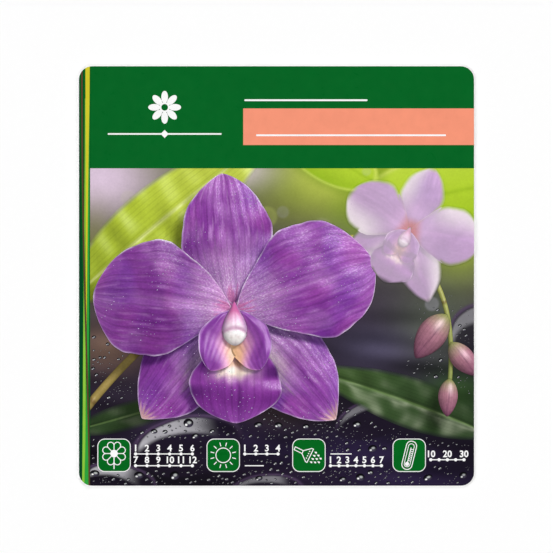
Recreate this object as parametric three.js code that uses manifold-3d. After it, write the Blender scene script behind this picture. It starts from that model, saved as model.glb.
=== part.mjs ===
// A plant care label: a stiff white plastic card with rounded corners, printed on its face.
//
// Each printed area is a thin film and a mesh of its own. Films lie in layers, one film thick each, so a
// film rests on the layer under it and their flat faces meet exactly. FILM_THICKNESS is a sixteenth of a
// millimetre, which keeps every level exact in 32-bit numbers.
//
// Millimetres. +Z is up, out of the printed face. The origin is the centre of the card's back.

import * as THREE from 'three';
import { mergeVertices } from 'three/addons/utils/BufferGeometryUtils.js';
import Module from 'manifold-3d';

const wasm = await Module();
wasm.setup();

// ---------------------------------------------------------------- driving dimensions

const CARD_WIDTH = 89;
const CARD_HEIGHT = 94.5;
const CORNER_RADIUS = 3;
const SHEET_THICKNESS = 0.5;
const FILM_THICKNESS = 0.0625;

const BORDER_WIDTH = 2.5;
const HEADER_HEIGHT = 23;

const LEFT = -CARD_WIDTH / 2;
const RIGHT = CARD_WIDTH / 2;
const BOTTOM = -CARD_HEIGHT / 2;
const TOP = CARD_HEIGHT / 2;
const PICTURE_LEFT = LEFT + BORDER_WIDTH;
const PICTURE_TOP = TOP - HEADER_HEIGHT;

// Header. The title bar runs to the right edge, and the two rules are for writing names on.
const TITLE_BAR = { left: -7.5, bottom: 29.5, top: 37.75 };
const RULE_THICKNESS = 0.4;
const NAME_RULE = { left: -7.25, right: 20.5, y: 39.6 };
const TITLE_RULE = { left: -4.6, right: 38.2, y: 31.7 };
const ROSETTE = { x: -25.2, y: 38, petals: 8, reach: 3.7, petalWidth: 1.5, hubRadius: 1.15, stroke: 0.4 };
const DIVIDER = { y: 32, halfLength: 12.8, thickness: 0.35, lozenge: 0.9 };

// Border ribbons: slim strips that run down the border and change width. Each row gives a height and the x of
// both sides there, from the top down.
const RIBBONS = {
  lime: {
    layer: 2,
    rows: [[40, -43.15, -43.05], [-1, -43.5, -43], [-28, -43.65, -42.9], [BOTTOM, -43.8, -43.25]],
  },
  dark: {
    layer: 3,
    rows: [[TOP, LEFT, -44.35], [17, LEFT, -44.15], [-10, LEFT, -43.6], [BOTTOM, LEFT, -43.85]],
  },
  yellow: {
    layer: 3,
    rows: [[TOP, -43, -42.1], [17, -42.9, -42.45], [-1, -42.95, -42.65], [-20, -42.85, -42.8]],
  },
  green: {
    layer: 4,
    rows: [[40, -42.12, -42.05], [8, -42.6, -42.15], [-19, -42.8, -42.3], [BOTTOM, -43.3, -42.3]],
  },
  brown: {
    layer: 5,
    rows: [[TOP, -44, -43.65], [17, -43.75, -43.4], [-10, -43.2, -42.85], [BOTTOM, -42.35, -42.02]],
  },
};

// Care tiles: rounded squares in a row, each with a sign, and a scale or two to its right.
const TILE = { size: 7.5, radius: 1.7, rim: 0.25, y: -40.4 };
const TILE_X = { flower: -36.6, light: -12, water: 7.3, warmth: 29.9 };
const SIGN_STROKE = 0.26;
const FLOWER_SIGN = { y: 0.5, petals: 8, reach: 1.68, long: 0.88, wide: 0.68, stroke: 0.21, eye: 0.86 };
const FLOWER_FOOT = -3.1;
const SUN_SIGN = { radius: 1.65, rays: 12, rayStart: 1.5, rayEnd: 2.85 };
const WATER_SIGN = { x: -2.9, y: 1.5, turn: -28, neck: 1.6, face: 3.4, rim: 0.4, halfMouth: 1.5 };
const DROPS = { count: 4, across: -1.1, pitch: 0.72, spread: 1.2, reach: 5, stagger: 0.5 };
const DROP = { tail: 0.08, belly: 0.24, head: 0.4 };
const WARMTH_SIGN = { turn: -14, width: 2.1, length: 6.2, bulb: 0.52 };
const WARMTH_MARKS = { count: 6, first: 0.8, pitch: 0.5, width: 0.18 };
const SCALE = { gap: 0.75, thickness: 0.22, bead: 0.36, upperY: 0.3, middleY: -1, lowerY: -2.35 };
const SCALES = {
  months_scale_upper: { tile: 'flower', y: SCALE.upperY, length: 13.5, beads: 6 },
  months_scale_lower: { tile: 'flower', y: SCALE.lowerY, length: 13.5, beads: 6 },
  light_scale: { tile: 'light', y: SCALE.upperY, length: 8.2, beads: 4 },
  light_rule: { tile: 'light', y: SCALE.lowerY, length: 5, beads: 0 },
  week_rule: { tile: 'water', y: SCALE.upperY, length: 5.5, beads: 0 },
  week_scale: { tile: 'water', y: SCALE.lowerY, length: 12.2, beads: 7 },
  warmth_scale: { tile: 'warmth', y: SCALE.middleY, length: 8.2, beads: 5 },
};

// The picture. A blade (tepal, bud or leaf) has a start, a direction in degrees, a length and a greatest
// width, which it reaches at the share widest of its length. taper says how its ends close: about 0.5 is as
// round as an ellipse, and 1 is a point. bend is its sideways sweep as a share of its length, and ruffle and
// waves shape its edge.
const SEPAL = { ink: 'sepal', layer: 3, start: 1.2 };
const DORSAL = { ...SEPAL, widest: 0.54, taper: 0.7 };
const LATERAL = { ...SEPAL, widest: 0.52, taper: 0.82 };
const PETAL = { ink: 'petal', layer: 4, start: 0.6, widest: 0.6, taper: 0.6 };
const TEPALS = {
  dorsal_sepal: { ...DORSAL, turn: 92, length: 29.5, width: 20.5, bend: -0.03 },
  left_lateral_sepal: { ...LATERAL, turn: 222, length: 31, width: 19, bend: 0.05 },
  right_lateral_sepal: { ...LATERAL, turn: 311, length: 32.5, width: 19.5, bend: -0.06 },
  left_petal: { ...PETAL, turn: 166, length: 31.3, width: 26.5, bend: 0.05 },
  right_petal: { ...PETAL, turn: 17, length: 32.5, width: 27, bend: -0.05 },
};
const TEPAL_EDGE = { ruffle: 0.03, waves: 2.6 };
const LIP = { layer: 5, turn: 266 };
const LIP_SIDE = { start: 0.2, length: 14.5, width: 9.6, widest: 0.56, taper: 0.62 };
const LIP_LOBES = [
  { start: 1.2, aside: 0, length: 24.5, width: 21, widest: 0.66, taper: 0.74, bend: 0 },
  { ...LIP_SIDE, aside: -30, bend: 0.12 },
  { ...LIP_SIDE, aside: 30, bend: -0.12 },
];
const COLUMN = { layer: 6, start: -1.8, length: 10, width: 5.6, widest: 0.66, taper: 0.55, bend: 0 };
const BLOOMS = {
  near_bloom: { x: -9.5, y: -7.5, size: 1, turn: 5 },
  far_bloom: { x: 29.8, y: 10.2, size: 0.5, turn: -22 },
};

const BROAD_LEAF = { length: 62, width: 17, widest: 0.46, taper: 0.8, bend: -0.06 };
const DARK_LEAF = { length: 47, width: 11.5, widest: 0.42, taper: 0.9, bend: 0.06 };
const SMALL_LEAF = { length: 38, width: 6.4, widest: 0.4, taper: 0.9, bend: 0.05 };
const LEAVES = {
  upper_leaf: { ...BROAD_LEAF, ink: 'leaf', x: -48, y: -7, turn: 43 },
  lower_leaf: { ...DARK_LEAF, ink: 'darkLeaf', x: 49, y: -36, turn: 157 },
  side_leaf: { ...SMALL_LEAF, ink: 'darkLeaf', x: -47, y: -35.2, turn: 14 },
};
const LEAF_LAYER = 2;

const STEM = { layer: 2, width: 1.9, tipWidth: 1, knots: [[-46, -34], [-14, 10], [44, 30], [39, -24]] };
const BUD = { widest: 0.45, taper: 0.68, bend: 0.06 };
const BUDS = {
  bud_large: { ...BUD, along: 0.89, turn: 230, length: 12, width: 6.6 },
  bud_middle: { ...BUD, along: 0.94, turn: 306, length: 9.5, width: 5.2 },
  bud_tip: { ...BUD, along: 0.995, turn: 262, length: 8.5, width: 4.4 },
};
const BUD_LAYER = 3;

// Finish of the sheet and of each ink, as colour and roughness.
const FINISHES = {
  sheet: [0xf4f4f0, 0.45],
  headerGreen: [0x076324, 0.3],
  dark: [0x004423, 0.3],
  yellow: [0xd0c82d, 0.3],
  lime: [0x8cc63f, 0.3],
  green: [0x2da03c, 0.3],
  brown: [0x5f412d, 0.3],
  salmon: [0xf59678, 0.3],
  white: [0xfafafa, 0.3],
  tileGreen: [0x05641e, 0.3],
  ground: [0x2b2532, 0.3],
  leaf: [0x9aad38, 0.3],
  darkLeaf: [0x37502a, 0.3],
  stem: [0xb9a35c, 0.3],
  bud: [0x96647a, 0.3],
  sepal: [0x8a3fa6, 0.3],
  petal: [0x7d3096, 0.3],
  lip: [0x6e2a88, 0.3],
  column: [0xf0dcec, 0.3],
};

// How finely curves are drawn.
const CORNER_STEPS = 8;
const ROUND_STEPS = 7;
const BLADE_STEPS = 24;
const STEM_STEPS = 26;

// ---------------------------------------------------------------- plan shapes

const point = (x, y) => new THREE.Vector2(x, y);
const radians = THREE.MathUtils.degToRad;
const heading = (degrees) => point(Math.cos(radians(degrees)), Math.sin(radians(degrees)));
const leftOf = (direction) => point(-direction.y, direction.x);
const repeat = (count, make) => Array.from({ length: count }, (_, i) => make(i));

// The place that lies at a distance from a centre, in a direction in degrees.
const outward = (centre, degrees, distance) =>
  point(centre.x, centre.y).addScaledVector(heading(degrees), distance);

function rectangle(left, bottom, right, top) {
  return new THREE.Shape([point(left, bottom), point(right, bottom), point(right, top), point(left, top)]);
}

function roundedRectangle(width, height, radius) {
  const x = width / 2 - radius;
  const y = height / 2 - radius;
  const quarter = Math.PI / 2;
  return new THREE.Shape()
    .absarc(x, y, radius, 0, quarter)
    .absarc(-x, y, radius, quarter, 2 * quarter)
    .absarc(-x, -y, radius, 2 * quarter, 3 * quarter)
    .absarc(x, -y, radius, 3 * quarter, 4 * quarter);
}

function ellipse(centre, xRadius, yRadius, degrees = 0) {
  return new THREE.Shape()
    .absellipse(centre.x, centre.y, xRadius, yRadius, 0, 2 * Math.PI, false, radians(degrees));
}

function ellipseRing(centre, xRadius, yRadius, stroke, degrees = 0) {
  return ring(ellipse(centre, xRadius, yRadius, degrees),
    ellipse(centre, xRadius - stroke, yRadius - stroke, degrees));
}

function ring(outer, inner) {
  outer.holes.push(inner);
  return outer;
}

// A straight stroke with square ends.
function bar(from, to, width) {
  const side = leftOf(to.clone().sub(from).normalize()).multiplyScalar(width / 2);
  const start = [from.clone().add(side), from.clone().sub(side)];
  const end = [to.clone().sub(side), to.clone().add(side)];
  return new THREE.Shape([...start, ...end]);
}

// The half width of a blade at u, from 0 at the base to 1 at the tip, as a share of its greatest.
function fullness(blade, u) {
  const skew = Math.log(0.5) / Math.log(blade.widest);
  return Math.max(0, Math.sin(Math.PI * u ** skew)) ** blade.taper;
}

// A point of a blade: u along it, v across it from -1 to 1.
function bladePoint(blade, u, v) {
  const along = heading(blade.turn);
  const wave = 1 + (blade.ruffle ?? 0) * Math.sin(2 * Math.PI * (blade.waves ?? 0) * u + v);
  const across = blade.bend * blade.length * u * u + v * (blade.width / 2) * fullness(blade, u) * wave;
  return point(blade.x, blade.y)
    .addScaledVector(along, blade.length * u)
    .addScaledVector(leftOf(along), across);
}

// Both sides of a blade, with points closer together at its ends, where it curves most.
function bladeShape(blade) {
  const rise = repeat(BLADE_STEPS - 1, (i) => (1 - Math.cos((Math.PI * (i + 1)) / BLADE_STEPS)) / 2);
  const left = rise.map((u) => bladePoint(blade, u, 1));
  const right = rise.map((u) => bladePoint(blade, u, -1));
  return new THREE.Shape([bladePoint(blade, 0, 0), ...right, bladePoint(blade, 1, 0), ...left.reverse()]);
}

// A stroke along a curve whose width runs from one value to another.
function taperedStroke(curve, startWidth, endWidth, steps) {
  const side = (t, sign) => {
    const reach = (sign * THREE.MathUtils.lerp(startWidth, endWidth, t)) / 2;
    return curve.getPoint(t).addScaledVector(leftOf(curve.getTangent(t)), reach);
  };
  const rise = repeat(steps + 1, (i) => i / steps);
  return new THREE.Shape([...rise.map((t) => side(t, -1)), ...rise.reverse().map((t) => side(t, 1))]);
}

const cardOutline = () => roundedRectangle(CARD_WIDTH, CARD_HEIGHT, CORNER_RADIUS);
const pictureOutline = () => rectangle(PICTURE_LEFT, BOTTOM, RIGHT, PICTURE_TOP);

// ---------------------------------------------------------------- films

const extrude = (shape, depth, curveSegments) =>
  new THREE.ExtrudeGeometry(shape, { depth, curveSegments, bevelEnabled: false });
const film = (shape) => extrude(shape, FILM_THICKNESS, ROUND_STEPS);

function toSolid(geometry) {
  const bare = geometry.clone();
  bare.deleteAttribute('normal');
  bare.deleteAttribute('uv');
  const welded = mergeVertices(bare);
  return new wasm.Manifold(new wasm.Mesh({
    numProp: 3,
    vertProperties: welded.getAttribute('position').array,
    triVerts: new Uint32Array(welded.getIndex().array),
  }));
}

function toGeometry(solid) {
  const mesh = solid.getMesh();
  const geometry = new THREE.BufferGeometry();
  geometry.setAttribute('position', new THREE.BufferAttribute(mesh.vertProperties, 3));
  geometry.setIndex(new THREE.BufferAttribute(mesh.triVerts, 1));
  geometry.computeVertexNormals();
  return geometry;
}

// One film from several that overlap.
const joined = (films) => toGeometry(films.map(toSolid).reduce((all, one) => all.add(one)));

// The part of a film that lies inside an outline.
function within(geometry, outline) {
  const cutter = extrude(outline, 3 * FILM_THICKNESS, CORNER_STEPS).translate(0, 0, -FILM_THICKNESS);
  return toGeometry(toSolid(geometry).intersect(toSolid(cutter)));
}

const label = new THREE.Group();

function addMesh(name, geometry, x, y, z, finish) {
  const [color, roughness] = FINISHES[finish];
  const mesh = new THREE.Mesh(geometry, new THREE.MeshStandardMaterial({ color, roughness, metalness: 0 }));
  mesh.name = name;
  mesh.position.set(x, y, z);
  label.add(mesh);
}

// Puts a film in a layer. Layer 1 lies on the sheet.
function addFilm(name, geometry, layer, ink, x = 0, y = 0) {
  addMesh(name, geometry, x, y, SHEET_THICKNESS + (layer - 1) * FILM_THICKNESS, ink);
}

// ---------------------------------------------------------------- sheet, header and border

function addSheet() {
  addMesh('card_sheet', extrude(cardOutline(), SHEET_THICKNESS, CORNER_STEPS), 0, 0, 0, 'sheet');
}

// The three areas that cover the face, cut to the card's outline.
function addGrounds() {
  const header = rectangle(PICTURE_LEFT, PICTURE_TOP, RIGHT, TOP);
  const border = rectangle(LEFT, BOTTOM, PICTURE_LEFT, TOP);
  addFilm('header_band', within(film(header), cardOutline()), 1, 'headerGreen');
  addFilm('border_band', within(film(border), cardOutline()), 1, 'headerGreen');
  addFilm('picture_ground', within(film(pictureOutline()), cardOutline()), 1, 'ground');
}

function addRibbons() {
  for (const [ink, { layer, rows }] of Object.entries(RIBBONS)) {
    const leftSide = rows.map(([y, left]) => point(left, y));
    const rightSide = rows.map(([y, , right]) => point(right, y));
    const strip = film(new THREE.Shape([...leftSide, ...rightSide.reverse()]));
    addFilm(`border_ribbon_${ink}`, within(strip, cardOutline()), layer, ink);
  }
}

function addTitle() {
  const half = RULE_THICKNESS / 2;
  const rule = ({ left, right, y }) => film(rectangle(left, y - half, right, y + half));
  const bar = film(rectangle(TITLE_BAR.left, TITLE_BAR.bottom, RIGHT, TITLE_BAR.top));
  addFilm('title_bar', bar, 2, 'salmon');
  addFilm('name_rule', rule(NAME_RULE), 2, 'white');
  addFilm('title_rule', rule(TITLE_RULE), 3, 'white');
}

// A plain rosette: round-ended petals that grow out of a ring.
function addRosette() {
  const { x, y, petals, reach, petalWidth, hubRadius, stroke } = ROSETTE;
  const halfLength = (reach - hubRadius + stroke / 2) / 2;
  const petal = (i) => {
    const degrees = (360 * i) / petals;
    const middle = outward(point(0, 0), degrees, reach - halfLength);
    return film(ellipse(middle, halfLength, petalWidth / 2, degrees));
  };
  const hub = film(ellipseRing(point(0, 0), hubRadius, hubRadius, stroke));
  addFilm('rosette', joined([hub, ...repeat(petals, petal)]), 2, 'white', x, y);
}

// A rule with a lozenge at its middle, under the rosette.
function addDivider() {
  const { y, halfLength, thickness, lozenge } = DIVIDER;
  const rule = rectangle(-halfLength, -thickness / 2, halfLength, thickness / 2);
  const diamond = new THREE.Shape(repeat(4, (i) => outward(point(0, 0), 90 * i, lozenge)));
  addFilm('divider', joined([film(rule), film(diamond)]), 2, 'white', ROSETTE.x, y);
}

// ---------------------------------------------------------------- care tiles

function flowerSign() {
  const { y, petals, reach, long, wide, stroke, eye } = FLOWER_SIGN;
  const middle = point(0, y);
  const petal = (i) => {
    const degrees = (360 * (i + 0.5)) / petals;
    return film(ellipseRing(outward(middle, degrees, reach), long, wide, stroke, degrees));
  };
  const stalk = film(bar(point(0, y - eye / 2), point(0, FLOWER_FOOT), SIGN_STROKE));
  return joined([film(ellipse(middle, eye, eye)), ...repeat(petals, petal), stalk]);
}

function sunSign() {
  const { radius, rays, rayStart, rayEnd } = SUN_SIGN;
  const middle = point(0, 0);
  const ray = (i) => {
    const degrees = (360 * (i + 0.5)) / rays;
    return film(bar(outward(middle, degrees, rayStart), outward(middle, degrees, rayEnd), SIGN_STROKE));
  };
  return joined([film(ellipseRing(middle, radius, radius, SIGN_STROKE)), ...repeat(rays, ray)]);
}

// A watering rose on its neck. Each drop trails back to the rose's mouth.
function waterSign() {
  const { turn, neck, face, rim, halfMouth } = WATER_SIGN;
  const side = leftOf(heading(turn));
  const at = (along, across) => outward(WATER_SIGN, turn, along).addScaledVector(side, across);
  const pipe = bar(at(0, 0), at(neck, 0), 3 * SIGN_STROKE);
  const throat = neck - SIGN_STROKE;
  const rose = new THREE.Shape([at(throat, -SIGN_STROKE), at(face - rim, -halfMouth), at(face, -halfMouth),
    at(face, halfMouth), at(face - rim, halfMouth), at(throat, SIGN_STROKE)]);
  const drop = (i) => {
    const { tail, belly, head } = DROP;
    const across = DROPS.across + DROPS.pitch * i;
    const end = across * DROPS.spread;
    const reach = DROPS.reach + DROPS.stagger * (i % 2);
    return new THREE.Shape([at(face - tail, across - tail), at(reach - head, end - belly), at(reach, end),
      at(reach - head, end + belly), at(face - tail, across + tail)]);
  };
  return joined([pipe, rose, ...repeat(DROPS.count, drop)].map(film));
}

// A thermometer: a glass outline with a bulb, a column, and marks that reach its wall. It leans.
function warmthSign() {
  const { turn, width, length, bulb } = WARMTH_SIGN;
  const bulbY = (width - length) / 2;
  const wall = (width - SIGN_STROKE) / 2;
  const inner = roundedRectangle(width - 2 * SIGN_STROKE, length - 2 * SIGN_STROKE, width / 2 - SIGN_STROKE);
  const glass = ring(roundedRectangle(width, length, width / 2), inner);
  const column = bar(point(0, bulbY), point(0, -bulbY), SIGN_STROKE);
  const line = (i) => {
    const y = bulbY + WARMTH_MARKS.first + WARMTH_MARKS.pitch * i;
    return bar(point(0, y), point(wall, y), WARMTH_MARKS.width);
  };
  const shapes = [glass, ellipse(point(0, bulbY), bulb, bulb), column, ...repeat(WARMTH_MARKS.count, line)];
  return joined(shapes.map(film)).rotateZ(radians(turn));
}

function addTile(name, sign) {
  const { size, radius, rim, y } = TILE;
  const x = TILE_X[name];
  const face = roundedRectangle(size - 2 * rim, size - 2 * rim, radius - rim);
  addFilm(`${name}_tile_rim`, film(roundedRectangle(size, size, radius)), 2, 'white', x, y);
  addFilm(`${name}_tile_face`, film(face), 3, 'tileGreen', x, y);
  addFilm(`${name}_sign`, sign, 4, 'white', x, y);
}

// A scale: a thin rule with beads on it, evenly spaced. With no beads it is a plain rule.
function addScale(name, { tile, y, length, beads }) {
  const { gap, thickness, bead } = SCALE;
  const spot = (i) => point(bead + (i * (length - 2 * bead)) / (beads - 1), 0);
  const rule = film(rectangle(bead, -thickness / 2, length - bead, thickness / 2));
  const discs = repeat(beads, (i) => film(ellipse(spot(i), bead, bead)));
  addFilm(name, joined([rule, ...discs]), 2, 'white', TILE_X[tile] + TILE.size / 2 + gap, TILE.y + y);
}

// ---------------------------------------------------------------- picture

function addBlade(name, blade, layer, ink) {
  addFilm(name, within(film(bladeShape(blade)), pictureOutline()), layer, ink);
}

const stemCurve = new THREE.CubicBezierCurve(...STEM.knots.map(([x, y]) => point(x, y)));

function addSpray() {
  const stem = film(taperedStroke(stemCurve, STEM.width, STEM.tipWidth, STEM_STEPS));
  addFilm('spray_stem', within(stem, pictureOutline()), STEM.layer, 'stem');
  for (const [name, bud] of Object.entries(BUDS)) {
    const { x, y } = stemCurve.getPoint(bud.along);
    addBlade(name, { ...bud, x, y }, BUD_LAYER, 'bud');
  }
}

// A blade of a bloom, grown to the bloom's size and turned with it.
function placed(blade, bloom, turn) {
  const { x, y } = outward(bloom, turn, blade.start * bloom.size);
  return { ...blade, x, y, turn, length: blade.length * bloom.size, width: blade.width * bloom.size };
}

// The lip is a broad middle lobe that hangs down and a side lobe to each side of the column.
function addBloom(name, bloom) {
  for (const [part, tepal] of Object.entries(TEPALS)) {
    const blade = placed({ ...tepal, ...TEPAL_EDGE }, bloom, tepal.turn + bloom.turn);
    addBlade(`${name}_${part}`, blade, tepal.layer, tepal.ink);
  }
  const down = LIP.turn + bloom.turn;
  const lobe = (blade) => film(bladeShape(placed({ ...blade, ...TEPAL_EDGE }, bloom, down + blade.aside)));
  addFilm(`${name}_lip`, joined(LIP_LOBES.map(lobe)), LIP.layer, 'lip');
  addBlade(`${name}_column`, placed(COLUMN, bloom, down), COLUMN.layer, 'column');
}

addSheet();
addGrounds();
addRibbons();
addTitle();
addRosette();
addDivider();
addTile('flower', flowerSign());
addTile('light', sunSign());
addTile('water', waterSign());
addTile('warmth', warmthSign());
for (const [name, scale] of Object.entries(SCALES)) addScale(name, scale);
for (const [name, leaf] of Object.entries(LEAVES)) addBlade(name, leaf, LEAF_LAYER, leaf.ink);
addSpray();
for (const [name, bloom] of Object.entries(BLOOMS)) addBloom(name, bloom);

export default label;
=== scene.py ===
# %% [markdown]
# # A printed plant care label
#
# The label is a stiff white plastic card, 89 x 94.5 mm and half a millimetre thick, with ink on its face:
# a green header, a striped border, a picture of an orchid spray and a row of care signs. This lesson builds
# it film by film. The sizes come from the CAD part, so each ink film lies exactly where its solid lies.

# %% Load the CAD frame
import math

import bmesh
import bpy
import numpy as np
from mathutils import Matrix, Vector
from mathutils.bvhtree import BVHTree


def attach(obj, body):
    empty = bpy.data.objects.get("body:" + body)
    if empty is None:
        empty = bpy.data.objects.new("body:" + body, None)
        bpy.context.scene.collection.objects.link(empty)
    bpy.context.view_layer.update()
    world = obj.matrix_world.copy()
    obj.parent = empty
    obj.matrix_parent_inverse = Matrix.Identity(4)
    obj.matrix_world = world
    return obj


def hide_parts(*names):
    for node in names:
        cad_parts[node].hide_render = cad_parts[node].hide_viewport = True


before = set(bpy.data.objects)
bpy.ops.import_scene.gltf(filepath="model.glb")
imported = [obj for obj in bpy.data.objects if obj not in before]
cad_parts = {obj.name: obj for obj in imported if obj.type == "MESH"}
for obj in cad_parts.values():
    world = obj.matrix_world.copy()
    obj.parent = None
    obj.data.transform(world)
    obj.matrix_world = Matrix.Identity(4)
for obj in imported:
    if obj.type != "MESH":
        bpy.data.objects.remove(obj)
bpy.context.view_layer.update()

scene = bpy.context.scene

# %% [markdown]
# ## Sizes and colours
#
# Everything is drawn in millimetres and brought to metres when it becomes a piece. Colours are written as
# the six-figure numbers that painters and web pages use. Light is mixed in linear values, so each colour is
# converted once, here.

# %% Sizes and colours
MM = 0.001
CARD_WIDTH, CARD_HEIGHT, CORNER_RADIUS, SHEET_THICKNESS = 89.0, 94.5, 3.0, 0.5
FILM = 0.0625
BORDER_WIDTH, HEADER_HEIGHT = 2.5, 23.0
LEFT, RIGHT, BOTTOM, TOP = -CARD_WIDTH / 2, CARD_WIDTH / 2, -CARD_HEIGHT / 2, CARD_HEIGHT / 2
PICTURE_LEFT, PICTURE_TOP = LEFT + BORDER_WIDTH, TOP - HEADER_HEIGHT


def linear(code):
    """The linear red, green and blue of a colour such as "076324"."""
    share = np.array([int(code[i:i + 2], 16) for i in (0, 2, 4)]) / 255
    return np.where(share <= 0.04045, share / 12.92, ((share + 0.055) / 1.055) ** 2.4)


def layer_levels(layer):
    """The lowest and highest level of the film in a layer. Layer 1 lies on the sheet."""
    low = SHEET_THICKNESS + (layer - 1) * FILM
    return low, low + FILM


print("Picture area in mm:", RIGHT - PICTURE_LEFT, "x", PICTURE_TOP - BOTTOM)

# %% [markdown]
# ## A helper for nodes
#
# Materials, the world and Geometry Nodes are all node trees. They could be clicked together by hand, but a
# script can be read again. One helper adds a node, sets its options and fills its inputs: a value is set on
# the socket, and another node's output is linked to it. A second helper starts a material.


# %% Node helper
def add_node(tree, kind, inputs=None, **options):
    node = tree.nodes.new(kind)
    for name, value in options.items():
        setattr(node, name, value)
    for name, value in (inputs or {}).items():
        if isinstance(value, bpy.types.NodeSocket):
            tree.links.new(value, node.inputs[name])
        else:
            node.inputs[name].default_value = value
    return node


def rgba(colour):
    return (*[float(c) for c in colour], 1.0)


def new_material(name, roughness, gloss):
    """A material, its node tree and its surface shader."""
    material = bpy.data.materials.new(name)
    material.use_nodes = True
    surface = material.node_tree.nodes["Principled BSDF"]
    surface.inputs["Roughness"].default_value = roughness
    surface.inputs["Specular IOR Level"].default_value = gloss
    return material, material.node_tree, surface


print("White as a shader takes it:", rgba(linear("ffffff")))

# %% [markdown]
# ## Floor, light and camera
#
# A flat glossy print is lit as on a copy stand: from all four sides at 45 degrees, with a dim room above, so
# that no lamp mirrors in the ink. Four broad suns give the same light everywhere on the floor. Together with
# the room they add up to 1, so an ink shows its own colour and the pale floor is near white.

# %% Floor and light
ROOM_SHARE = 0.1
SUN_HEIGHT = math.radians(45)
SUN_ANGLE = math.radians(35)
SUNS = {"front": (0, 0.9), "right": (90, 0.8), "back": (180, 1.1), "left": (270, 1.2)}
FLOOR_HALF_WIDTH = 12.0  # in metres
FLOOR_DROP = 0.02  # keeps the floor clear of the card's back
FLOOR_GRAIN = {"scale": 900.0, "darkest": 0.985}


def add_sun(name, bearing, share):
    """A broad lamp. The shares of the four lamps add up to 4."""
    lamp = bpy.data.lights.new(name + "_light", "SUN")
    lamp.energy = share * (1 - ROOM_SHARE) * math.pi / (4 * math.sin(SUN_HEIGHT))
    lamp.angle = SUN_ANGLE
    sun = bpy.data.objects.new(name + "_light", lamp)
    sun.rotation_euler = (math.pi / 2 - SUN_HEIGHT, 0, math.radians(bearing))
    scene.collection.objects.link(sun)


def make_floor():
    mesh = bpy.data.meshes.new("floor")
    half = FLOOR_HALF_WIDTH
    corners = [(-half, -half, 0), (half, -half, 0), (half, half, 0), (-half, half, 0)]
    mesh.from_pydata(corners, [], [(0, 1, 2, 3)])
    floor = bpy.data.objects.new("floor", mesh)
    scene.collection.objects.link(floor)
    floor.location.z = -FLOOR_DROP * MM
    material, tree, surface = new_material("Pale floor", 0.9, 0.0)
    place = add_node(tree, "ShaderNodeTexCoord").outputs["Object"]
    grain = add_node(tree, "ShaderNodeTexNoise", {"Vector": place, "Scale": FLOOR_GRAIN["scale"]})
    tone = add_node(tree, "ShaderNodeMapRange", {
        "Value": grain.outputs["Fac"], "To Min": FLOOR_GRAIN["darkest"], "To Max": 1.0})
    tree.links.new(tone.outputs["Result"], surface.inputs["Base Color"])
    mesh.materials.append(material)


for name, (bearing, share) in SUNS.items():
    add_sun(name, bearing, share)
world = bpy.data.worlds.new("Dim room")
scene.world = world
world.use_nodes = True
world.node_tree.nodes["Background"].inputs["Color"].default_value = (1, 1, 1, 1)
world.node_tree.nodes["Background"].inputs["Strength"].default_value = ROOM_SHARE
scene.view_settings.view_transform = "Standard"
make_floor()
print("Sum of the lamps' shares:", sum(share for _, share in SUNS.values()))

# %% [markdown]
# The camera looks straight down. An orthographic camera would show no perspective either, but a long lens
# from two metres up is what a copy stand has, and it works from the side too. The lens length follows from
# the width that the view takes in at the print.

# %% Camera
VIEW_WIDTH, CAMERA_HEIGHT, VIEW_MIDDLE_Y = 124.6, 2000.0, -0.12

lens = bpy.data.cameras.new("camera")
lens.sensor_width = 36.0
lens.lens = lens.sensor_width * (CAMERA_HEIGHT - SHEET_THICKNESS) / VIEW_WIDTH
lens.clip_start, lens.clip_end = 0.1, 40.0
camera = bpy.data.objects.new("camera", lens)
camera.location = (0, VIEW_MIDDLE_Y * MM, CAMERA_HEIGHT * MM)
scene.collection.objects.link(camera)
scene.camera = camera
print("Lens in mm:", round(lens.lens, 1))

# %% [markdown]
# ## Plan shapes
#
# A print is drawn in plan, so most pieces start as an outline: a list of points that runs anticlockwise.
# Curves could be drawn and turned to meshes, but lists of points can be measured and cut in the script.


# %% Plan shapes
def heading(degrees):
    return np.array([math.cos(math.radians(degrees)), math.sin(math.radians(degrees))])


def left_of(direction):
    return np.array([-direction[1], direction[0]])


def arc(centre, radius, start, end, steps):
    return [np.asarray(centre) + radius * heading(a) for a in np.linspace(start, end, steps + 1)]


def rectangle(left, bottom, right, top):
    return [np.array(p, float) for p in ((left, bottom), (right, bottom), (right, top), (left, top))]


def rounded_rectangle(width, height, radius, middle=(0, 0), steps=16):
    x, y = width / 2 - radius, height / 2 - radius
    corners = ((x, y, 0), (-x, y, 90), (-x, -y, 180), (x, -y, 270))
    return [p for cx, cy, a in corners for p in arc(np.add(middle, (cx, cy)), radius, a, a + 90, steps)]


def ellipse(middle, x_radius, y_radius, turn=0, count=48):
    along, angles = heading(turn), np.linspace(0, 2 * np.pi, count, endpoint=False)
    return [np.asarray(middle) + x_radius * math.cos(a) * along + y_radius * math.sin(a) * left_of(along)
            for a in angles]


def stroke(start, end, width):
    start, end = np.asarray(start, float), np.asarray(end, float)
    side = left_of((end - start) / np.linalg.norm(end - start)) * width / 2
    return [start - side, end - side, end + side, start + side]


print("Points of a rounded square:", len(rounded_rectangle(1, 1, 0.2)))


# %% [markdown]
# Two more helpers change an outline. One draws it in or grows it, which gives rims and lines. The other
# clips it to the card or to the picture. Boolean modifiers could clip the pieces instead, but both regions
# are convex, so a few sums for each of their sides are enough.


# %% Inset and clip
def inset(outline, width):
    """A convex outline drawn in by a width, or grown by it where the width is below 0."""
    sides = [(after - corner) / np.linalg.norm(after - corner)
             for corner, after in zip(outline, outline[1:] + outline[:1])]
    return [corner + width * (left_of(before) + left_of(after)) / (1 + before @ after)
            for corner, before, after in zip(outline, sides[-1:] + sides[:-1], sides)]


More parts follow.
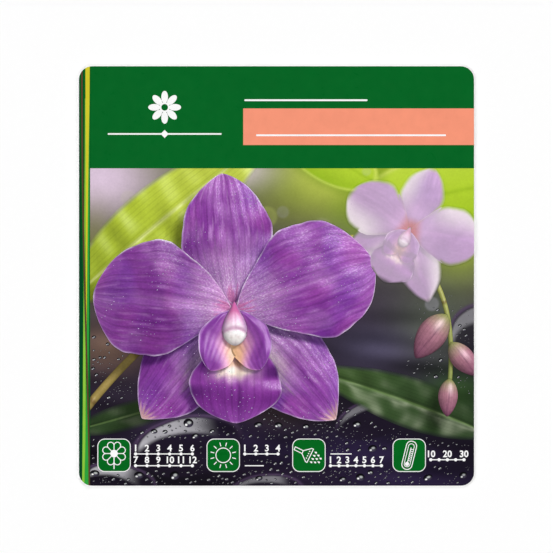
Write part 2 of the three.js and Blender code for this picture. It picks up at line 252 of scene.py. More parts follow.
def clip(outline, region):
    """The part of an outline inside a convex region."""
    for a, b in zip(region, region[1:] + region[:1]):
        inward = left_of(b - a)
        depth = [float(np.dot(p - a, inward)) for p in outline]
        kept = []
        for i, p in enumerate(outline):
            q, dp, dq = outline[(i + 1) % len(outline)], depth[i], depth[(i + 1) % len(outline)]
            if dp >= 0:
                kept.append(p)
            if (dp > 0) != (dq > 0) and dp != dq:
                kept.append(p + (q - p) * dp / (dp - dq))
        outline = kept
    return outline


CARD = rounded_rectangle(CARD_WIDTH, CARD_HEIGHT, CORNER_RADIUS)
PICTURE = clip(rectangle(PICTURE_LEFT, BOTTOM, RIGHT, PICTURE_TOP), CARD)
print("Corners of the card's outline:", len(CARD), "of the picture's:", len(PICTURE))

# %% [markdown]
# ## From an outline to a piece
#
# A film of ink is a closed slab: a face below, a face above and walls between. A Solidify modifier on a flat
# face would do, but the slab's levels are known, so its few faces are simply written down. A ring is the same
# with a hole that has as many points as its outline. A finished piece rides on the card's one body, takes its
# material and stands for the CAD film it replaces.


# %% Slabs and pieces
def slab(outline, low, high, hole=None):
    """The points and faces of a closed slab."""
    n = len(outline)
    loops = [outline] if hole is None else [outline, hole]
    points = [(*p, z) for z in (low, high) for loop in loops for p in loop]
    step = n * len(loops)
    after = [(i + 1) % n for i in range(n)]
    faces = [(i, j, step + j, step + i) for i, j in enumerate(after)]
    if hole is None:
        return points, faces + [tuple(range(n))[::-1], tuple(range(n, 2 * n))]
    for i, j in enumerate(after):
        faces += [(n + j, n + i, step + n + i, step + n + j), (j, i, n + i, n + j),
                  (step + i, step + j, step + n + j, step + n + i)]
    return points, faces


def mesh_of(name, *solids):
    points, faces = [], []
    for solid_points, solid_faces in solids:
        faces += [tuple(len(points) + i for i in face) for face in solid_faces]
        points += solid_points
    mesh = bpy.data.meshes.new(name)
    mesh.from_pydata([tuple(map(float, p)) for p in points], [], faces)
    return mesh


def make_piece(name, mesh, nodes=(), material=None):
    """Brings a mesh from millimetres to metres and makes it a piece of the label."""
    mesh.transform(Matrix.Scale(MM, 4))
    mesh.name = name
    if material:
        mesh.materials.clear()
        mesh.materials.append(material)
    piece = bpy.data.objects.new(name, mesh)
    scene.collection.objects.link(piece)
    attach(piece, "root")
    if nodes:
        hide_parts(*nodes)
    print(f"{name}: {len(mesh.polygons)} faces")


print("Faces of a slab with four corners:", len(slab(rectangle(0, 0, 1, 1), 0, 1)[1]))

# %% [markdown]
# ## Inks and the sheet
#
# A flat varnished ink is not quite flat in colour. The press lays it down a little unevenly over a few
# millimetres, the pigment has a fine grain, and the varnish dries with a slight orange peel. All three are
# noise at different scales, read from Object coordinates. The bare sheet is the same idea with a satin
# finish and a coarser moulded grain.


# %% Ink and sheet materials
GLOSS = 0.08
INK_ROUGHNESS = 0.32
ROUGHNESS_SWING = 0.05
GRAIN_HEIGHT = 0.02


def surface_grain(tree, place, size, strength):
    """A fine bump, with its size in millimetres."""
    peel = add_node(tree, "ShaderNodeTexNoise", {"Vector": place, "Scale": 1 / (size * MM), "Detail": 2.0})
    bump = {"Height": peel.outputs["Fac"], "Strength": strength, "Distance": GRAIN_HEIGHT * MM}
    return add_node(tree, "ShaderNodeBump", bump).outputs["Normal"]


def tone_noise(tree, place, size, spread):
    """A number about 1 that varies by spread, over patches of a size in millimetres."""
    noise = add_node(tree, "ShaderNodeTexNoise", {"Vector": place, "Scale": 1 / (size * MM), "Detail": 3.0})
    tone = {"Value": noise.outputs["Fac"], "From Min": 0.3, "From Max": 0.7,
            "To Min": 1 - spread, "To Max": 1 + spread}
    return add_node(tree, "ShaderNodeMapRange", tone).outputs["Result"]


def shaded(tree, colour, *tones):
    """A colour multiplied by one or more numbers."""
    for tone in tones:
        colour = add_node(tree, "ShaderNodeVectorMath", {0: colour, 1: tone}, operation="MULTIPLY").outputs[0]
    return colour


def flat_material(name, code, roughness=INK_ROUGHNESS, uneven=(3.0, 0.03), grain=(0.12, 0.02),
                  peel=(0.5, 0.25)):
    """A flat ink. uneven, grain and peel are each a size in millimetres and a strength."""
    material, tree, surface = new_material(name, roughness, GLOSS)
    place = add_node(tree, "ShaderNodeTexCoord").outputs["Object"]
    colour = add_node(tree, "ShaderNodeCombineXYZ", dict(zip("XYZ", map(float, linear(code))))).outputs[0]
    colour = shaded(tree, colour, tone_noise(tree, place, *uneven), tone_noise(tree, place, *grain))
    dull = {"Value": tone_noise(tree, place, 1.5, 1.0), "From Max": 2.0,
            "To Min": roughness - ROUGHNESS_SWING, "To Max": roughness + ROUGHNESS_SWING}
    tree.links.new(colour, surface.inputs["Base Color"])
    tree.links.new(add_node(tree, "ShaderNodeMapRange", dull).outputs["Result"], surface.inputs["Roughness"])
    tree.links.new(surface_grain(tree, place, *peel), surface.inputs["Normal"])
    return material


SHEET_WHITE = flat_material("White sheet", "f6f6f3", 0.5, (6.0, 0.01), (0.3, 0.01), (0.35, 0.6))
INKS = {slot: flat_material(slot.replace("_", " ").capitalize() + " ink", code) for slot, code in {
    "header_green": "046324", "border_green": "004423", "yellow": "d0c82d", "lime": "8cc63f",
    "mid_green": "2da03c", "brown": "5f412d", "salmon": "f59678", "white_ink": "fbfbfb",
    "tile_green": "02641e"}.items()}
print("Flat inks:", ", ".join(INKS))

# %% [markdown]
# ## The sheet
#
# The card is cut with a steel rule. Its printed edge is crisp and its back edge is slightly rounded. A Bevel
# modifier would round both edges alike, so stacked outlines, each a little larger than the one below, make
# the rounding at the back alone.


# %% Card sheet
BACK_ROUNDING, ROUNDING_STEPS = 0.08, 4


def cut_sheet():
    rows = []
    for i in range(ROUNDING_STEPS + 1):
        angle = math.pi / 2 * i / ROUNDING_STEPS
        short, z = BACK_ROUNDING * (1 - math.sin(angle)), BACK_ROUNDING * (1 - math.cos(angle))
        outline = rounded_rectangle(CARD_WIDTH - 2 * short, CARD_HEIGHT - 2 * short, CORNER_RADIUS - short)
        rows.append([(*p, z) for p in outline])
    rows.append([(*p, SHEET_THICKNESS) for p in CARD])
    n = len(CARD)
    faces = [(n * row + i, n * row + (i + 1) % n, n * (row + 1) + (i + 1) % n, n * (row + 1) + i)
             for row in range(len(rows) - 1) for i in range(n)]
    faces += [tuple(range(n))[::-1], tuple(range(n * (len(rows) - 1), n * len(rows)))]
    return mesh_of("card", ([p for row in rows for p in row], faces))


make_piece("card", cut_sheet(), ["card_sheet"], SHEET_WHITE)

# %% [markdown]
# ## Header, border and title
#
# These are plain areas of ink, each a slab on the layer below. One green sheet could serve for header and
# border, but the press prints them as two areas, and so does the CAD part. Both are clipped to the card's
# rounded corners. Above and inside the salmon bar lies a white rule with round ends, each a place to write a
# name.

# %% Header, border and title
TITLE_BAR = {"left": -7.5, "bottom": 29.5, "top": 37.75}
RULE_THICKNESS = 0.4
END_STRAIGHT = 0.01  # keeps the points of a round end apart
NAME_RULE = {"left": -7.25, "right": 20.5, "y": 39.6}
TITLE_RULE = {"left": -4.6, "right": 38.2, "y": 31.7}


def flat_film(name, outline, layer, slot, node):
    make_piece(name, mesh_of(name, slab(outline, *layer_levels(layer))), [node], INKS[slot])


def rule_outline(left, right, y):
    middle = ((left + right) / 2, y)
    return rounded_rectangle(right - left, RULE_THICKNESS, RULE_THICKNESS / 2 - END_STRAIGHT, middle, steps=6)


flat_film("header_ink", clip(rectangle(PICTURE_LEFT, PICTURE_TOP, RIGHT, TOP), CARD), 1, "header_green",
          "header_band")
flat_film("border_ink", clip(rectangle(LEFT, BOTTOM, PICTURE_LEFT, TOP), CARD), 1, "header_green",
          "border_band")
flat_film("title_bar_ink", rectangle(TITLE_BAR["left"], TITLE_BAR["bottom"], RIGHT, TITLE_BAR["top"]), 2,
          "salmon", "title_bar")
flat_film("name_line", rule_outline(**NAME_RULE), 2, "white_ink", "name_rule")
flat_film("title_line", rule_outline(**TITLE_RULE), 3, "white_ink", "title_rule")

# %% [markdown]
# ## Border ribbons
#
# The border is printed like blades of grass: a dark strip down the card's edge, and four slim ribbons that
# bend and change width as they go. Straight strips would look stiff, so each side of a ribbon is a smooth
# line drawn near a few measured points.

# %% Border ribbons
# Each ribbon: its ink, its layer and its rows. Each row: y, then the x of its left and of its right side.
RIBBONS = {
    "lime": ("lime", 2, [
        (40, -43.15, -43.05), (17, -43.28, -42.93), (-1, -43.46, -43.03), (-19, -43.57, -42.97),
        (-37, -43.71, -43.05), (-47.25, -43.8, -43.25)]),
    "dark": ("border_green", 3, [
        (47.25, LEFT, -44.35), (30, LEFT, -44.26), (17, LEFT, -44.13), (-1, LEFT, -43.87),
        (-10, LEFT, -43.66), (-19, LEFT, -43.64), (-37, LEFT, -43.84), (-47.25, LEFT, -43.87)]),
    "yellow": ("yellow", 3, [
        (47.25, -43.05, -42.08), (30.5, -42.97, -42.25), (17, -42.93, -42.45), (-1, -42.96, -42.66),
        (-20, -42.84, -42.82)]),
    "green": ("mid_green", 4, [
        (40, -42.12, -42.05), (17, -42.45, -42.15), (-1, -42.67, -42.2), (-19, -42.76, -42.3),
        (-37, -43.06, -42.45), (-47.25, -43.28, -42.3)]),
    "brown": ("brown", 5, [
        (47.25, -44.0, -43.67), (30.5, -43.95, -43.62), (8, -43.62, -43.26), (-10, -43.2, -42.85),
        (-28, -42.67, -42.32), (-47.25, -42.35, -42.02)]),
}
MOST_BENDS = 4


def smooth_line(ys, xs, steps=40):
    """A smooth line that passes near a few points."""
    y = np.linspace(ys[0], ys[-1], steps + 1)
    middle = (ys[0] + ys[-1]) / 2
    bend = np.polyfit(np.subtract(ys, middle), xs, min(MOST_BENDS, len(ys) - 1))
    return [np.array([x, level]) for x, level in zip(np.polyval(bend, y - middle), y)]


for name, (slot, layer, rows) in RIBBONS.items():
    ys, lefts, rights = zip(*rows)
    outline = clip(smooth_line(ys, lefts) + smooth_line(ys, rights)[::-1], CARD)
    flat_film("ribbon_" + name, outline, layer, slot, "border_ribbon_" + name)

# %% [markdown]
# ## Copies in a ring and in a row
#
# The rosette's petals, the sun's rays, the marks on the thermometer and the beads on the scales all repeat
# one small shape. Array modifiers could place them, but would leave them overlapping. Geometry Nodes do both:
# a tree puts a copy on each of a number of points and fuses the copies with the base shape, so that the ink
# is one closed film. The two trees differ only in where the points lie, so one builder makes what they share.


# %% Geometry Nodes builder
def geometry_tree(title, **sizes):
    """A tree with a mesh in, a mesh out and named inputs."""
    tree = bpy.data.node_groups.new(title, "GeometryNodeTree")
    tree.interface.new_socket("Geometry", in_out="OUTPUT", socket_type="NodeSocketGeometry")
    for name, kind in {"Geometry": "Geometry", **sizes}.items():
        tree.interface.new_socket(name, in_out="INPUT", socket_type="NodeSocket" + kind)
    return tree, add_node(tree, "NodeGroupInput").outputs, add_node(tree, "NodeGroupOutput")


def calculate(tree, operation, *values):
    """One step of arithmetic."""
    return add_node(tree, "ShaderNodeMath", dict(enumerate(values)), operation=operation).outputs[0]


def fused_copies(tree, given, end, place, angle):
    """Copies on the points, fused with the base shape."""
    points = add_node(tree, "GeometryNodePoints", {"Count": given["Count"], "Position": place})
    shape = add_node(tree, "GeometryNodeObjectInfo", {"Object": given["Copy"]})
    turn = add_node(tree, "ShaderNodeCombineXYZ", {"Z": angle}).outputs[0]
    copies = add_node(tree, "GeometryNodeInstanceOnPoints", {
        "Points": points.outputs[0], "Instance": shape.outputs["Geometry"], "Rotation": turn})
    fused = add_node(tree, "GeometryNodeMeshBoolean", operation="UNION", solver="MANIFOLD")
    tree.links.new(given["Geometry"], fused.inputs["Mesh 2"])
    tree.links.new(copies.outputs[0], fused.inputs["Mesh 2"])
    plain = add_node(tree, "GeometryNodeRealizeInstances", {"Geometry": fused.outputs["Mesh"]})
    inked = add_node(tree, "GeometryNodeSetMaterial", {
        "Geometry": plain.outputs[0], "Material": given["Ink"]})
    tree.links.new(inked.outputs[0], end.inputs["Geometry"])


# %% [markdown]
# In a ring, copy number i stands at the first angle and i equal steps on, and is turned to face outwards. In
# a row it stands at the start and i steps on, and isn't turned.


# %% Ring tree and row tree
def ring_tree():
    tree, given, end = geometry_tree("Ring of copies", Copy="Object", Count="Int", Radius="Float",
                                     First="Float", Ink="Material")
    index = add_node(tree, "GeometryNodeInputIndex").outputs[0]
    step = calculate(tree, "DIVIDE", math.tau, given["Count"])
    angle = calculate(tree, "MULTIPLY_ADD", index, step, given["First"])
    x = calculate(tree, "MULTIPLY", calculate(tree, "COSINE", angle), given["Radius"])
    y = calculate(tree, "MULTIPLY", calculate(tree, "SINE", angle), given["Radius"])
    place = add_node(tree, "ShaderNodeCombineXYZ", {"X": x, "Y": y}).outputs[0]
    fused_copies(tree, given, end, place, angle)
    return tree


def row_tree():
    tree, given, end = geometry_tree("Row of copies", Copy="Object", Count="Int", Start="Vector",
                                     Step="Vector", Ink="Material")
    index = add_node(tree, "GeometryNodeInputIndex").outputs[0]
    run = add_node(tree, "ShaderNodeVectorMath", {0: given["Step"], "Scale": index}, operation="SCALE")
    place = add_node(tree, "ShaderNodeVectorMath", {0: given["Start"], 1: run.outputs[0]}, operation="ADD")
    fused_copies(tree, given, end, place.outputs[0], 0.0)
    return tree


RING, ROW = ring_tree(), row_tree()
print("Trees:", RING.name, len(RING.nodes), "nodes;", ROW.name, len(ROW.nodes), "nodes")


# %% [markdown]
# A tree needs an object to sit on. A base object gets it as a modifier, and a second object holds the shape
# to copy. The result is taken as a plain mesh, and both objects and the modifier go. The same row tree with a
# count of one fuses any two shapes that overlap.


# %% Run a tree once
def run_tree(tree, mesh, copy, **values):
    """The plain mesh that a tree makes of a base mesh and a copy's mesh."""
    base, stamp = bpy.data.objects.new("base", mesh), bpy.data.objects.new("stamp", copy)
    modifier = base.modifiers.new(tree.name, "NODES")
    modifier.node_group = tree
    sockets = {s.name: s.identifier for s in tree.interface.items_tree if s.in_out == "INPUT"}
    for name, value in {"Copy": stamp, **values}.items():
        modifier[sockets[name]] = value
    for thing in (base, stamp):
        scene.collection.objects.link(thing)
    view = bpy.context.evaluated_depsgraph_get()
    made = bpy.data.meshes.new_from_object(base.evaluated_get(view))
    base.modifiers.clear()
    for thing in (base, stamp):
        bpy.data.objects.remove(thing)
    return made


def white_copies(tree, mesh, shape, **sizes):
    """A base mesh fused with copies of a slab, in white ink."""
    return run_tree(tree, mesh, mesh_of("copy", shape), Ink=INKS["white_ink"], **sizes)


def joined(mesh, *shapes):
    """A mesh fused with slabs that overlap it, in white ink."""
    for shape in shapes:
        mesh = white_copies(ROW, mesh, shape, Count=1, Start=(0, 0, 0), Step=(0, 0, 0))
    return mesh


# %% [markdown]
# ## Rosette and divider
#
# A plain eight-petalled rosette stands in the header over a divider with a lozenge, a traditional printer's
# ornament. Both are fused, because overlapping ink would show its seams. The rosette's base shape is its hub
# ring, and its copy is one oval petal.

# %% Rosette and divider
ROSETTE = {"x": -25.2, "y": 38.0, "petals": 8, "reach": 3.7, "petal_width": 1.5, "hub": 1.15, "stroke": 0.4}
DIVIDER = {"y": 32.0, "half_length": 12.8, "thickness": 0.35, "lozenge": 0.9}
UP_TO_FILM = layer_levels(2)


def moved(mesh, x, y, turn=0):
    mesh.transform(Matrix.Translation((x, y, 0)) @ Matrix.Rotation(math.radians(turn), 4, "Z"))
    return mesh


half = (ROSETTE["reach"] - ROSETTE["hub"] + ROSETTE["stroke"] / 2) / 2
hub = slab(ellipse((0, 0), ROSETTE["hub"], ROSETTE["hub"]), *UP_TO_FILM,
           ellipse((0, 0), ROSETTE["hub"] - ROSETTE["stroke"], ROSETTE["hub"] - ROSETTE["stroke"]))
petal = slab(ellipse((0, 0), half, ROSETTE["petal_width"] / 2), *UP_TO_FILM)
rosette = white_copies(RING, mesh_of("hub", hub), petal, Count=ROSETTE["petals"],
                       Radius=ROSETTE["reach"] - half, First=0.0)
make_piece("rosette_ink", moved(rosette, ROSETTE["x"], ROSETTE["y"]), ["rosette"])

rule = slab(rectangle(-DIVIDER["half_length"], -DIVIDER["thickness"] / 2,
                      DIVIDER["half_length"], DIVIDER["thickness"] / 2), *UP_TO_FILM)
lozenge = slab([DIVIDER["lozenge"] * heading(90 * i) for i in range(4)], *UP_TO_FILM)
divider = joined(mesh_of("rule", rule), lozenge)
make_piece("divider_ink", moved(divider, ROSETTE["x"], DIVIDER["y"]), ["divider"])

# %% [markdown]
# ## Care tiles
#
# Each care sign stands on a green tile with a thin white rim. The rim could be a line round the green, but
# the printed one is a white rounded square with a slightly smaller green one on it, and it is built so here.

# %% Care tiles
TILE = {"size": 7.5, "radius": 1.7, "rim": 0.19, "y": -40.4}
TILE_X = {"flower": -36.6, "light": -12.0, "water": 7.3, "warmth": 29.9}

for name, x in TILE_X.items():
    inner = TILE["size"] - 2 * TILE["rim"]
    rim = rounded_rectangle(TILE["size"], TILE["size"], TILE["radius"], (x, TILE["y"]))
    face = rounded_rectangle(inner, inner, TILE["radius"] - TILE["rim"], (x, TILE["y"]))
    flat_film(name + "_rim", rim, 2, "white_ink", name + "_tile_rim")
    flat_film(name + "_face", face, 3, "tile_green", name + "_tile_face")

# %% [markdown]
# ## Care signs
#
# The signs are line drawings. The flower has eight petals that share their sides, an eye and a stalk. The sun
# is a ring with rays that stand clear of it, as on weather signs. Both could be drawn as curves, but a petal
# or a ray repeats, so the ring tree makes them. Separate rays are no trouble: they lie on the tile.

# %% Flower and sun signs
SIGN_LEVELS = layer_levels(4)
SIGN_STROKE = 0.19
FLOWER_SIGN = {"y": 0.4, "petals": 8, "reach": 2.7, "eye": 0.84, "foot": -3.1, "stalk": 1.2 * SIGN_STROKE}
SUN_SIGN = {"radius": 1.65, "rays": 12, "ray_start": 2.1, "ray_end": 2.95}


def line_slab(outline, width=SIGN_STROKE):
    """A line of a width drawn round a convex outline."""
    return slab(inset(outline, -width / 2), *SIGN_LEVELS, inset(outline, width / 2))


def place_sign(name, mesh, turn=0):
    moved(mesh, TILE_X[name], TILE["y"], turn)
    make_piece(name + "_sign_ink", mesh, [name + "_sign"])


def petal_outline(reach, share, root):
    """A petal that fills its share of a turn: straight sides from the root, and a round end."""
    half = 180 * share
    middle = reach / (1 + math.sin(math.radians(half)))
    end = arc((middle, 0), reach - middle, -90 - half, 90 + half, 18)
    return end + [root * heading(half), root * heading(-half)]


sign = FLOWER_SIGN
eye = slab(ellipse((0, 0), sign["eye"], sign["eye"]), *SIGN_LEVELS)
petal = line_slab(petal_outline(sign["reach"], 1 / sign["petals"], sign["eye"] / 2))
head = white_copies(RING, mesh_of("eye", eye), petal, Count=sign["petals"], Radius=0.0,
                    First=math.pi / sign["petals"])
stalk = slab(stroke((0, -sign["eye"]), (0, sign["foot"] - sign["y"]), sign["stalk"]), *SIGN_LEVELS)
place_sign("flower", moved(joined(head, stalk), 0, sign["y"]))

sign = SUN_SIGN
disc = line_slab(ellipse((0, 0), sign["radius"], sign["radius"]))
half = (sign["ray_end"] - sign["ray_start"]) / 2
ray = slab(stroke((-half, 0), (half, 0), SIGN_STROKE), *SIGN_LEVELS)
sun = white_copies(RING, mesh_of("disc", disc), ray, Count=sign["rays"], Radius=sign["ray_start"] + half,
                   First=math.pi / sign["rays"])
place_sign("light", sun)

# %% [markdown]
# The watering rose leans on its pipe. It has a row of holes behind its plate, and its drops fall in three
# rows, each shorter than the one before. Each hole and drop could be placed by hand, but the row tree sets
# one hole or teardrop a number of times across the rose's mouth. The thermometer is a glass in a round-ended
# case, with a bulb and a column, and the row tree sets its marks.

# %% Water and warmth signs
WATER_SIGN = {"x": -3.2, "y": 1.6, "turn": -26, "neck": 2.0, "pipe": 0.7, "face": 3.9, "rim": 0.4,
              "half_mouth": 1.65}
HOLE_ROW = {"radius": 0.14, "count": 4, "reach": 3.35, "pitch": 0.56}
DROP_ROWS = [{"count": 4, "reach": 4.65, "pitch": 0.8}, {"count": 3, "reach": 5.45, "pitch": 0.86},
             {"count": 2, "reach": 6.2, "pitch": 0.92}]
DROP = {"length": 0.68, "width": 0.43}
WARMTH_SIGN = {"turn": -14, "width": 2.3, "length": 6.5, "inner_width": 1.3, "inner_length": 5.3,
               "end_radius": 0.49, "bulb": 0.46, "glass_stroke": 0.15, "column_stroke": 0.18,
               "gap_above_column": 0.2}
WARMTH_MARKS = {"count": 7, "first": 0.8, "pitch": 0.44, "width": 0.15}

sign = WATER_SIGN
pipe = line_slab(rectangle(0, -sign["pipe"] / 2, sign["neck"], sign["pipe"] / 2))
mouth = sign["half_mouth"]
rose = line_slab([np.array(p) for p in (
    (sign["neck"], -sign["pipe"] / 2), (sign["face"] - sign["rim"], -mouth), (sign["face"], -mouth),
    (sign["face"], mouth), (sign["face"] - sign["rim"], mouth), (sign["neck"], sign["pipe"] / 2))])
teardrop = slab([np.array([-DROP["length"] / 2, 0.0])]
                + arc((DROP["length"] / 2 - DROP["width"] / 2, 0), DROP["width"] / 2, -90, 90, 8),
                *SIGN_LEVELS)
hole = slab(ellipse((0, 0), HOLE_ROW["radius"], HOLE_ROW["radius"], count=16), *SIGN_LEVELS)
water = joined(mesh_of("pipe", pipe), rose)
for row, mark in [(HOLE_ROW, hole)] + [(row, teardrop) for row in DROP_ROWS]:
    first = -row["pitch"] * (row["count"] - 1) / 2
    water = white_copies(ROW, water, mark, Count=row["count"], Start=(row["reach"], first, 0),
                         Step=(0, row["pitch"], 0))
place_sign("water", moved(water, sign["x"], sign["y"], sign["turn"]))

sign = WARMTH_SIGN
bulb_y = (sign["inner_width"] - sign["inner_length"]) / 2
column_top = -bulb_y - sign["gap_above_column"]
case = line_slab(rounded_rectangle(sign["width"], sign["length"], sign["end_radius"] * sign["width"]))
glass = line_slab(rounded_rectangle(sign["inner_width"], sign["inner_length"],
                                    sign["end_radius"] * sign["inner_width"]), sign["glass_stroke"])
bulb = slab(ellipse((0, bulb_y), sign["bulb"], sign["bulb"]), *SIGN_LEVELS)
column = slab(stroke((0, bulb_y), (0, column_top), sign["column_stroke"]), *SIGN_LEVELS)
mark = slab(rectangle(0, -WARMTH_MARKS["width"] / 2, sign["inner_width"] / 2, WARMTH_MARKS["width"] / 2),
            *SIGN_LEVELS)
warmth = white_copies(ROW, joined(mesh_of("bulb", bulb), column), mark, Count=WARMTH_MARKS["count"],
                      Start=(0, bulb_y + WARMTH_MARKS["first"], 0), Step=(0, WARMTH_MARKS["pitch"], 0))
place_sign("warmth", joined(warmth, glass, case), sign["turn"])

# %% [markdown]
# ## Scales
#
# To the right of each tile is a scale or two for marking months, light, days or warmth, most of them with
# plain numbers over it. The numbers could be drawn point by point, but a text object has good figures. Text
# is made a mesh with the film's thickness, and scaled to one height, because a font's figures are smaller
# than its nominal size.

# %% Numbers
FIGURE = {"height": 1.55, "lift": 0.55, "boldness": 0.026, "curve_steps": 3, "merge": 1e-4}


def figure_mesh(text):
    """One number as a slab, its foot at the origin."""
    curve = bpy.data.curves.new("figure", "FONT")
    curve.body, curve.align_x = text, "CENTER"
    curve.extrude = 0.5  # each way, so the figure is 1 thick before it is scaled to the film
    curve.offset, curve.resolution_u = FIGURE["boldness"], FIGURE["curve_steps"]
    writing = bpy.data.objects.new("figure", curve)
    scene.collection.objects.link(writing)
    mesh = bpy.data.meshes.new_from_object(writing.evaluated_get(bpy.context.evaluated_depsgraph_get()))
    bpy.data.objects.remove(writing)
    heights = [v.co.y for v in mesh.vertices]
    grow = FIGURE["height"] / (max(heights) - min(heights))
    low, high = UP_TO_FILM
    mesh.transform(Matrix.Translation((0, -min(heights) * grow, (low + high) / 2))
                   @ Matrix.Diagonal((grow, grow, high - low, 1)))
    return mesh


def number_row(name, places, numbers):
    bm = bmesh.new()
    for (x, y), text in zip(places, numbers):
        if text != "-":
            bm.from_mesh(moved(figure_mesh(text), x, y))
    bmesh.ops.remove_doubles(bm, verts=bm.verts, dist=FIGURE["merge"])
    mesh = bpy.data.meshes.new(name)
    bm.to_mesh(mesh)
    bm.free()
    make_piece(name, mesh, [], INKS["white_ink"])


# %% [markdown]
# A scale is a thin rule, and all but two carry evenly spaced beads. Beads and rule could be pieces of their
# own, but they are one stroke of ink, so the row tree fuses them.

# %% Scales
SCALE = {"gap": 0.75, "thickness": 0.22, "bead": 0.36, "upper": 0.3, "middle": -1.0, "lower": -2.35}
# Each scale: its tile, its level, its length, its count of beads, and its numbers, with "-" for none.
SCALES = {
    "months_scale_upper": ("flower", SCALE["upper"], 13.5, 6, "1 2 3 4 5 6"),
    "months_scale_lower": ("flower", SCALE["lower"], 13.5, 6, "7 8 9 10 11 12"),
    "light_scale": ("light", SCALE["upper"], 8.2, 4, "1 2 3 4"),
    "light_rule": ("light", SCALE["lower"], 5.0, 0, ""),
    "week_rule": ("water", SCALE["upper"], 5.5, 0, ""),
    "week_scale": ("water", SCALE["lower"], 12.2, 7, "1 2 3 4 5 6 7"),
    "warmth_scale": ("warmth", SCALE["middle"], 8.2, 5, "10 - 20 - 30"),
}

for name, (tile, y, length, beads, numbers) in SCALES.items():
    radius, half = SCALE["bead"], SCALE["thickness"] / 2
    corner = (TILE_X[tile] + TILE["size"] / 2 + SCALE["gap"], TILE["y"] + y)
    pitch = (length - 2 * radius) / max(1, beads - 1)
    rule = slab(rectangle(radius, -half, length - radius, half), *UP_TO_FILM)
    bead = slab(ellipse((0, 0), radius, radius, count=24), *UP_TO_FILM)
    scale = white_copies(ROW, mesh_of("rule", rule), bead, Count=beads, Start=(radius, 0, 0),
                         Step=(pitch, 0, 0))
    make_piece(name + "_ink", moved(scale, *corner), [name])
    if numbers:
        places = [(corner[0] + radius + i * pitch, corner[1] + FIGURE["lift"]) for i in range(beads)]
        number_row(name + "_numbers", places, numbers.split())

# %% [markdown]
# ## The picture: flowers modelled, lit and pressed flat
#
# The picture is ink too, so each motif is a flat film. What makes it look like a living orchid is its
# shading. One way to get that is to paint it by hand; here each petal is first modelled in relief, lit, and
# then pressed flat, as a flower is pressed in a book, keeping the light that fell on it as its colour.
#
# A motif is a sheet of points in rows. u runs from its base to its tip and v from -1 to 1 across it. Its plan
# follows the same rule as the CAD film, with slow waves along its sides and nicks of a tenth of a millimetre.


# %% Plan of a blade
FEWEST_STEPS_ALONG, FEWEST_STEPS_ACROSS = 16, 10
COARSER_ACROSS = 1.2


def fullness(blade, u):
    """The half width at u as a share of the greatest."""
    skew = math.log(0.5) / math.log(blade["widest"])
    return np.maximum(0, np.sin(np.pi * u ** skew)) ** blade["taper"]


def blade_grid(blade, fineness):
    """u and v on a grid of about a fineness in millimetres, closer together at both ends."""
    along = max(FEWEST_STEPS_ALONG, round(blade["length"] / fineness))
    across = max(FEWEST_STEPS_ACROSS, round(blade["width"] / fineness / COARSER_ACROSS))
    u = (1 - np.cos(np.pi * np.arange(along + 1) / along)) / 2
    return np.meshgrid(u, np.linspace(-1, 1, across + 1), indexing="ij")


def blade_plan(blade, u, v):
    along = heading(blade["turn"])
    wave = 1 + blade.get("ruffle", 0) * np.sin(2 * np.pi * blade.get("waves", 0) * u + v)
    nick = 1 + blade.get("nick", 0) * np.sin(37 * u + 3 * v) * np.sin(23 * u + blade["turn"])
    across = (blade["bend"] * blade["length"] * u ** 2
              + v * blade["width"] / 2 * fullness(blade, u) * wave * nick)
    return (np.array([blade["x"], blade["y"]]) + (blade["length"] * u)[..., None] * along
            + across[..., None] * left_of(along))


def from_point(plan, x, y, turn):
    """How far points lie from a point, along a heading and to its left."""
    away, along = plan - [x, y], heading(turn)
    return away @ along, away @ left_of(along)


def inside(blade, plan):
    """Whether points lie over a blade."""
    along, across = from_point(plan, blade["x"], blade["y"], blade["turn"])
    u = along / blade["length"]
    half = blade["width"] / 2 * fullness(blade, np.clip(u, 0, 1))
    return (u > 0) & (u < 1) & (np.abs(across - blade["bend"] * blade["length"] * u ** 2) < half)


def quads(rows, columns):
    """The faces between the points of a grid."""
    index = np.arange(rows * columns).reshape(rows, columns)
    return np.stack([index[:-1, :-1], index[1:, :-1], index[1:, 1:], index[:-1, 1:]], -1).reshape(-1, 4)


print("Half width of a petal at a quarter of its length, as a share:",
      round(float(fullness({"widest": 0.6, "taper": 0.6}, 0.25)), 3))

# %% [markdown]
# Three helpers serve all the reliefs and paints. Smooth noise is a sum of a few crossed waves with a fixed
# seed. A noise texture gives such noise too, but only to a shader, and here it is needed at points. The ribs
# of a blade fan out from its base, and a soft step joins two heights or two colours.


# %% Noise, ribs and steps
def ripples(plan, size, seed, count=9):
    """Smooth noise, about -1 to 1, with waves of about a size in millimetres."""
    draw = np.random.default_rng(seed)
    total = 0
    for angle, length, phase in zip(draw.uniform(0, 2 * np.pi, count), size * draw.uniform(0.6, 1.6, count),
                                    draw.uniform(0, 2 * np.pi, count)):
        run = plan[..., 0] * math.cos(angle) + plan[..., 1] * math.sin(angle)
        total = total + np.sin(2 * np.pi * run / length + phase)
    return total / math.sqrt(count / 2) / 1.5


def fan(blade, u, v):
    """Where a rib passes: it follows the blade's sides near the base and runs out at the edge."""
    return v * fullness(blade, u) ** 0.6


def smooth(x, low, high):
    """0 up to low, 1 from high on, and a soft step between."""
    t = np.clip((x - low) / (high - low), 0, 1)
    return t * t * (3 - 2 * t)


print("A soft step at a quarter, a half and three quarters:", smooth(np.array([0.25, 0.5, 0.75]), 0, 1))

# %% [markdown]
# A petal could be sculpted, but then every petal would need a sculptor. The relief of a blade is instead a
# sum of simple parts: how far its tip rises, an arch along it, a cup across it, a fold or a round back, a
# frilled edge, a groove at its midrib, fine ribs and a little unevenness. The lip and the column need a few
# more: steps along them, which may run in a bow, a cup that changes past the middle, and a flap that stands
# up at a lobe's outer side.

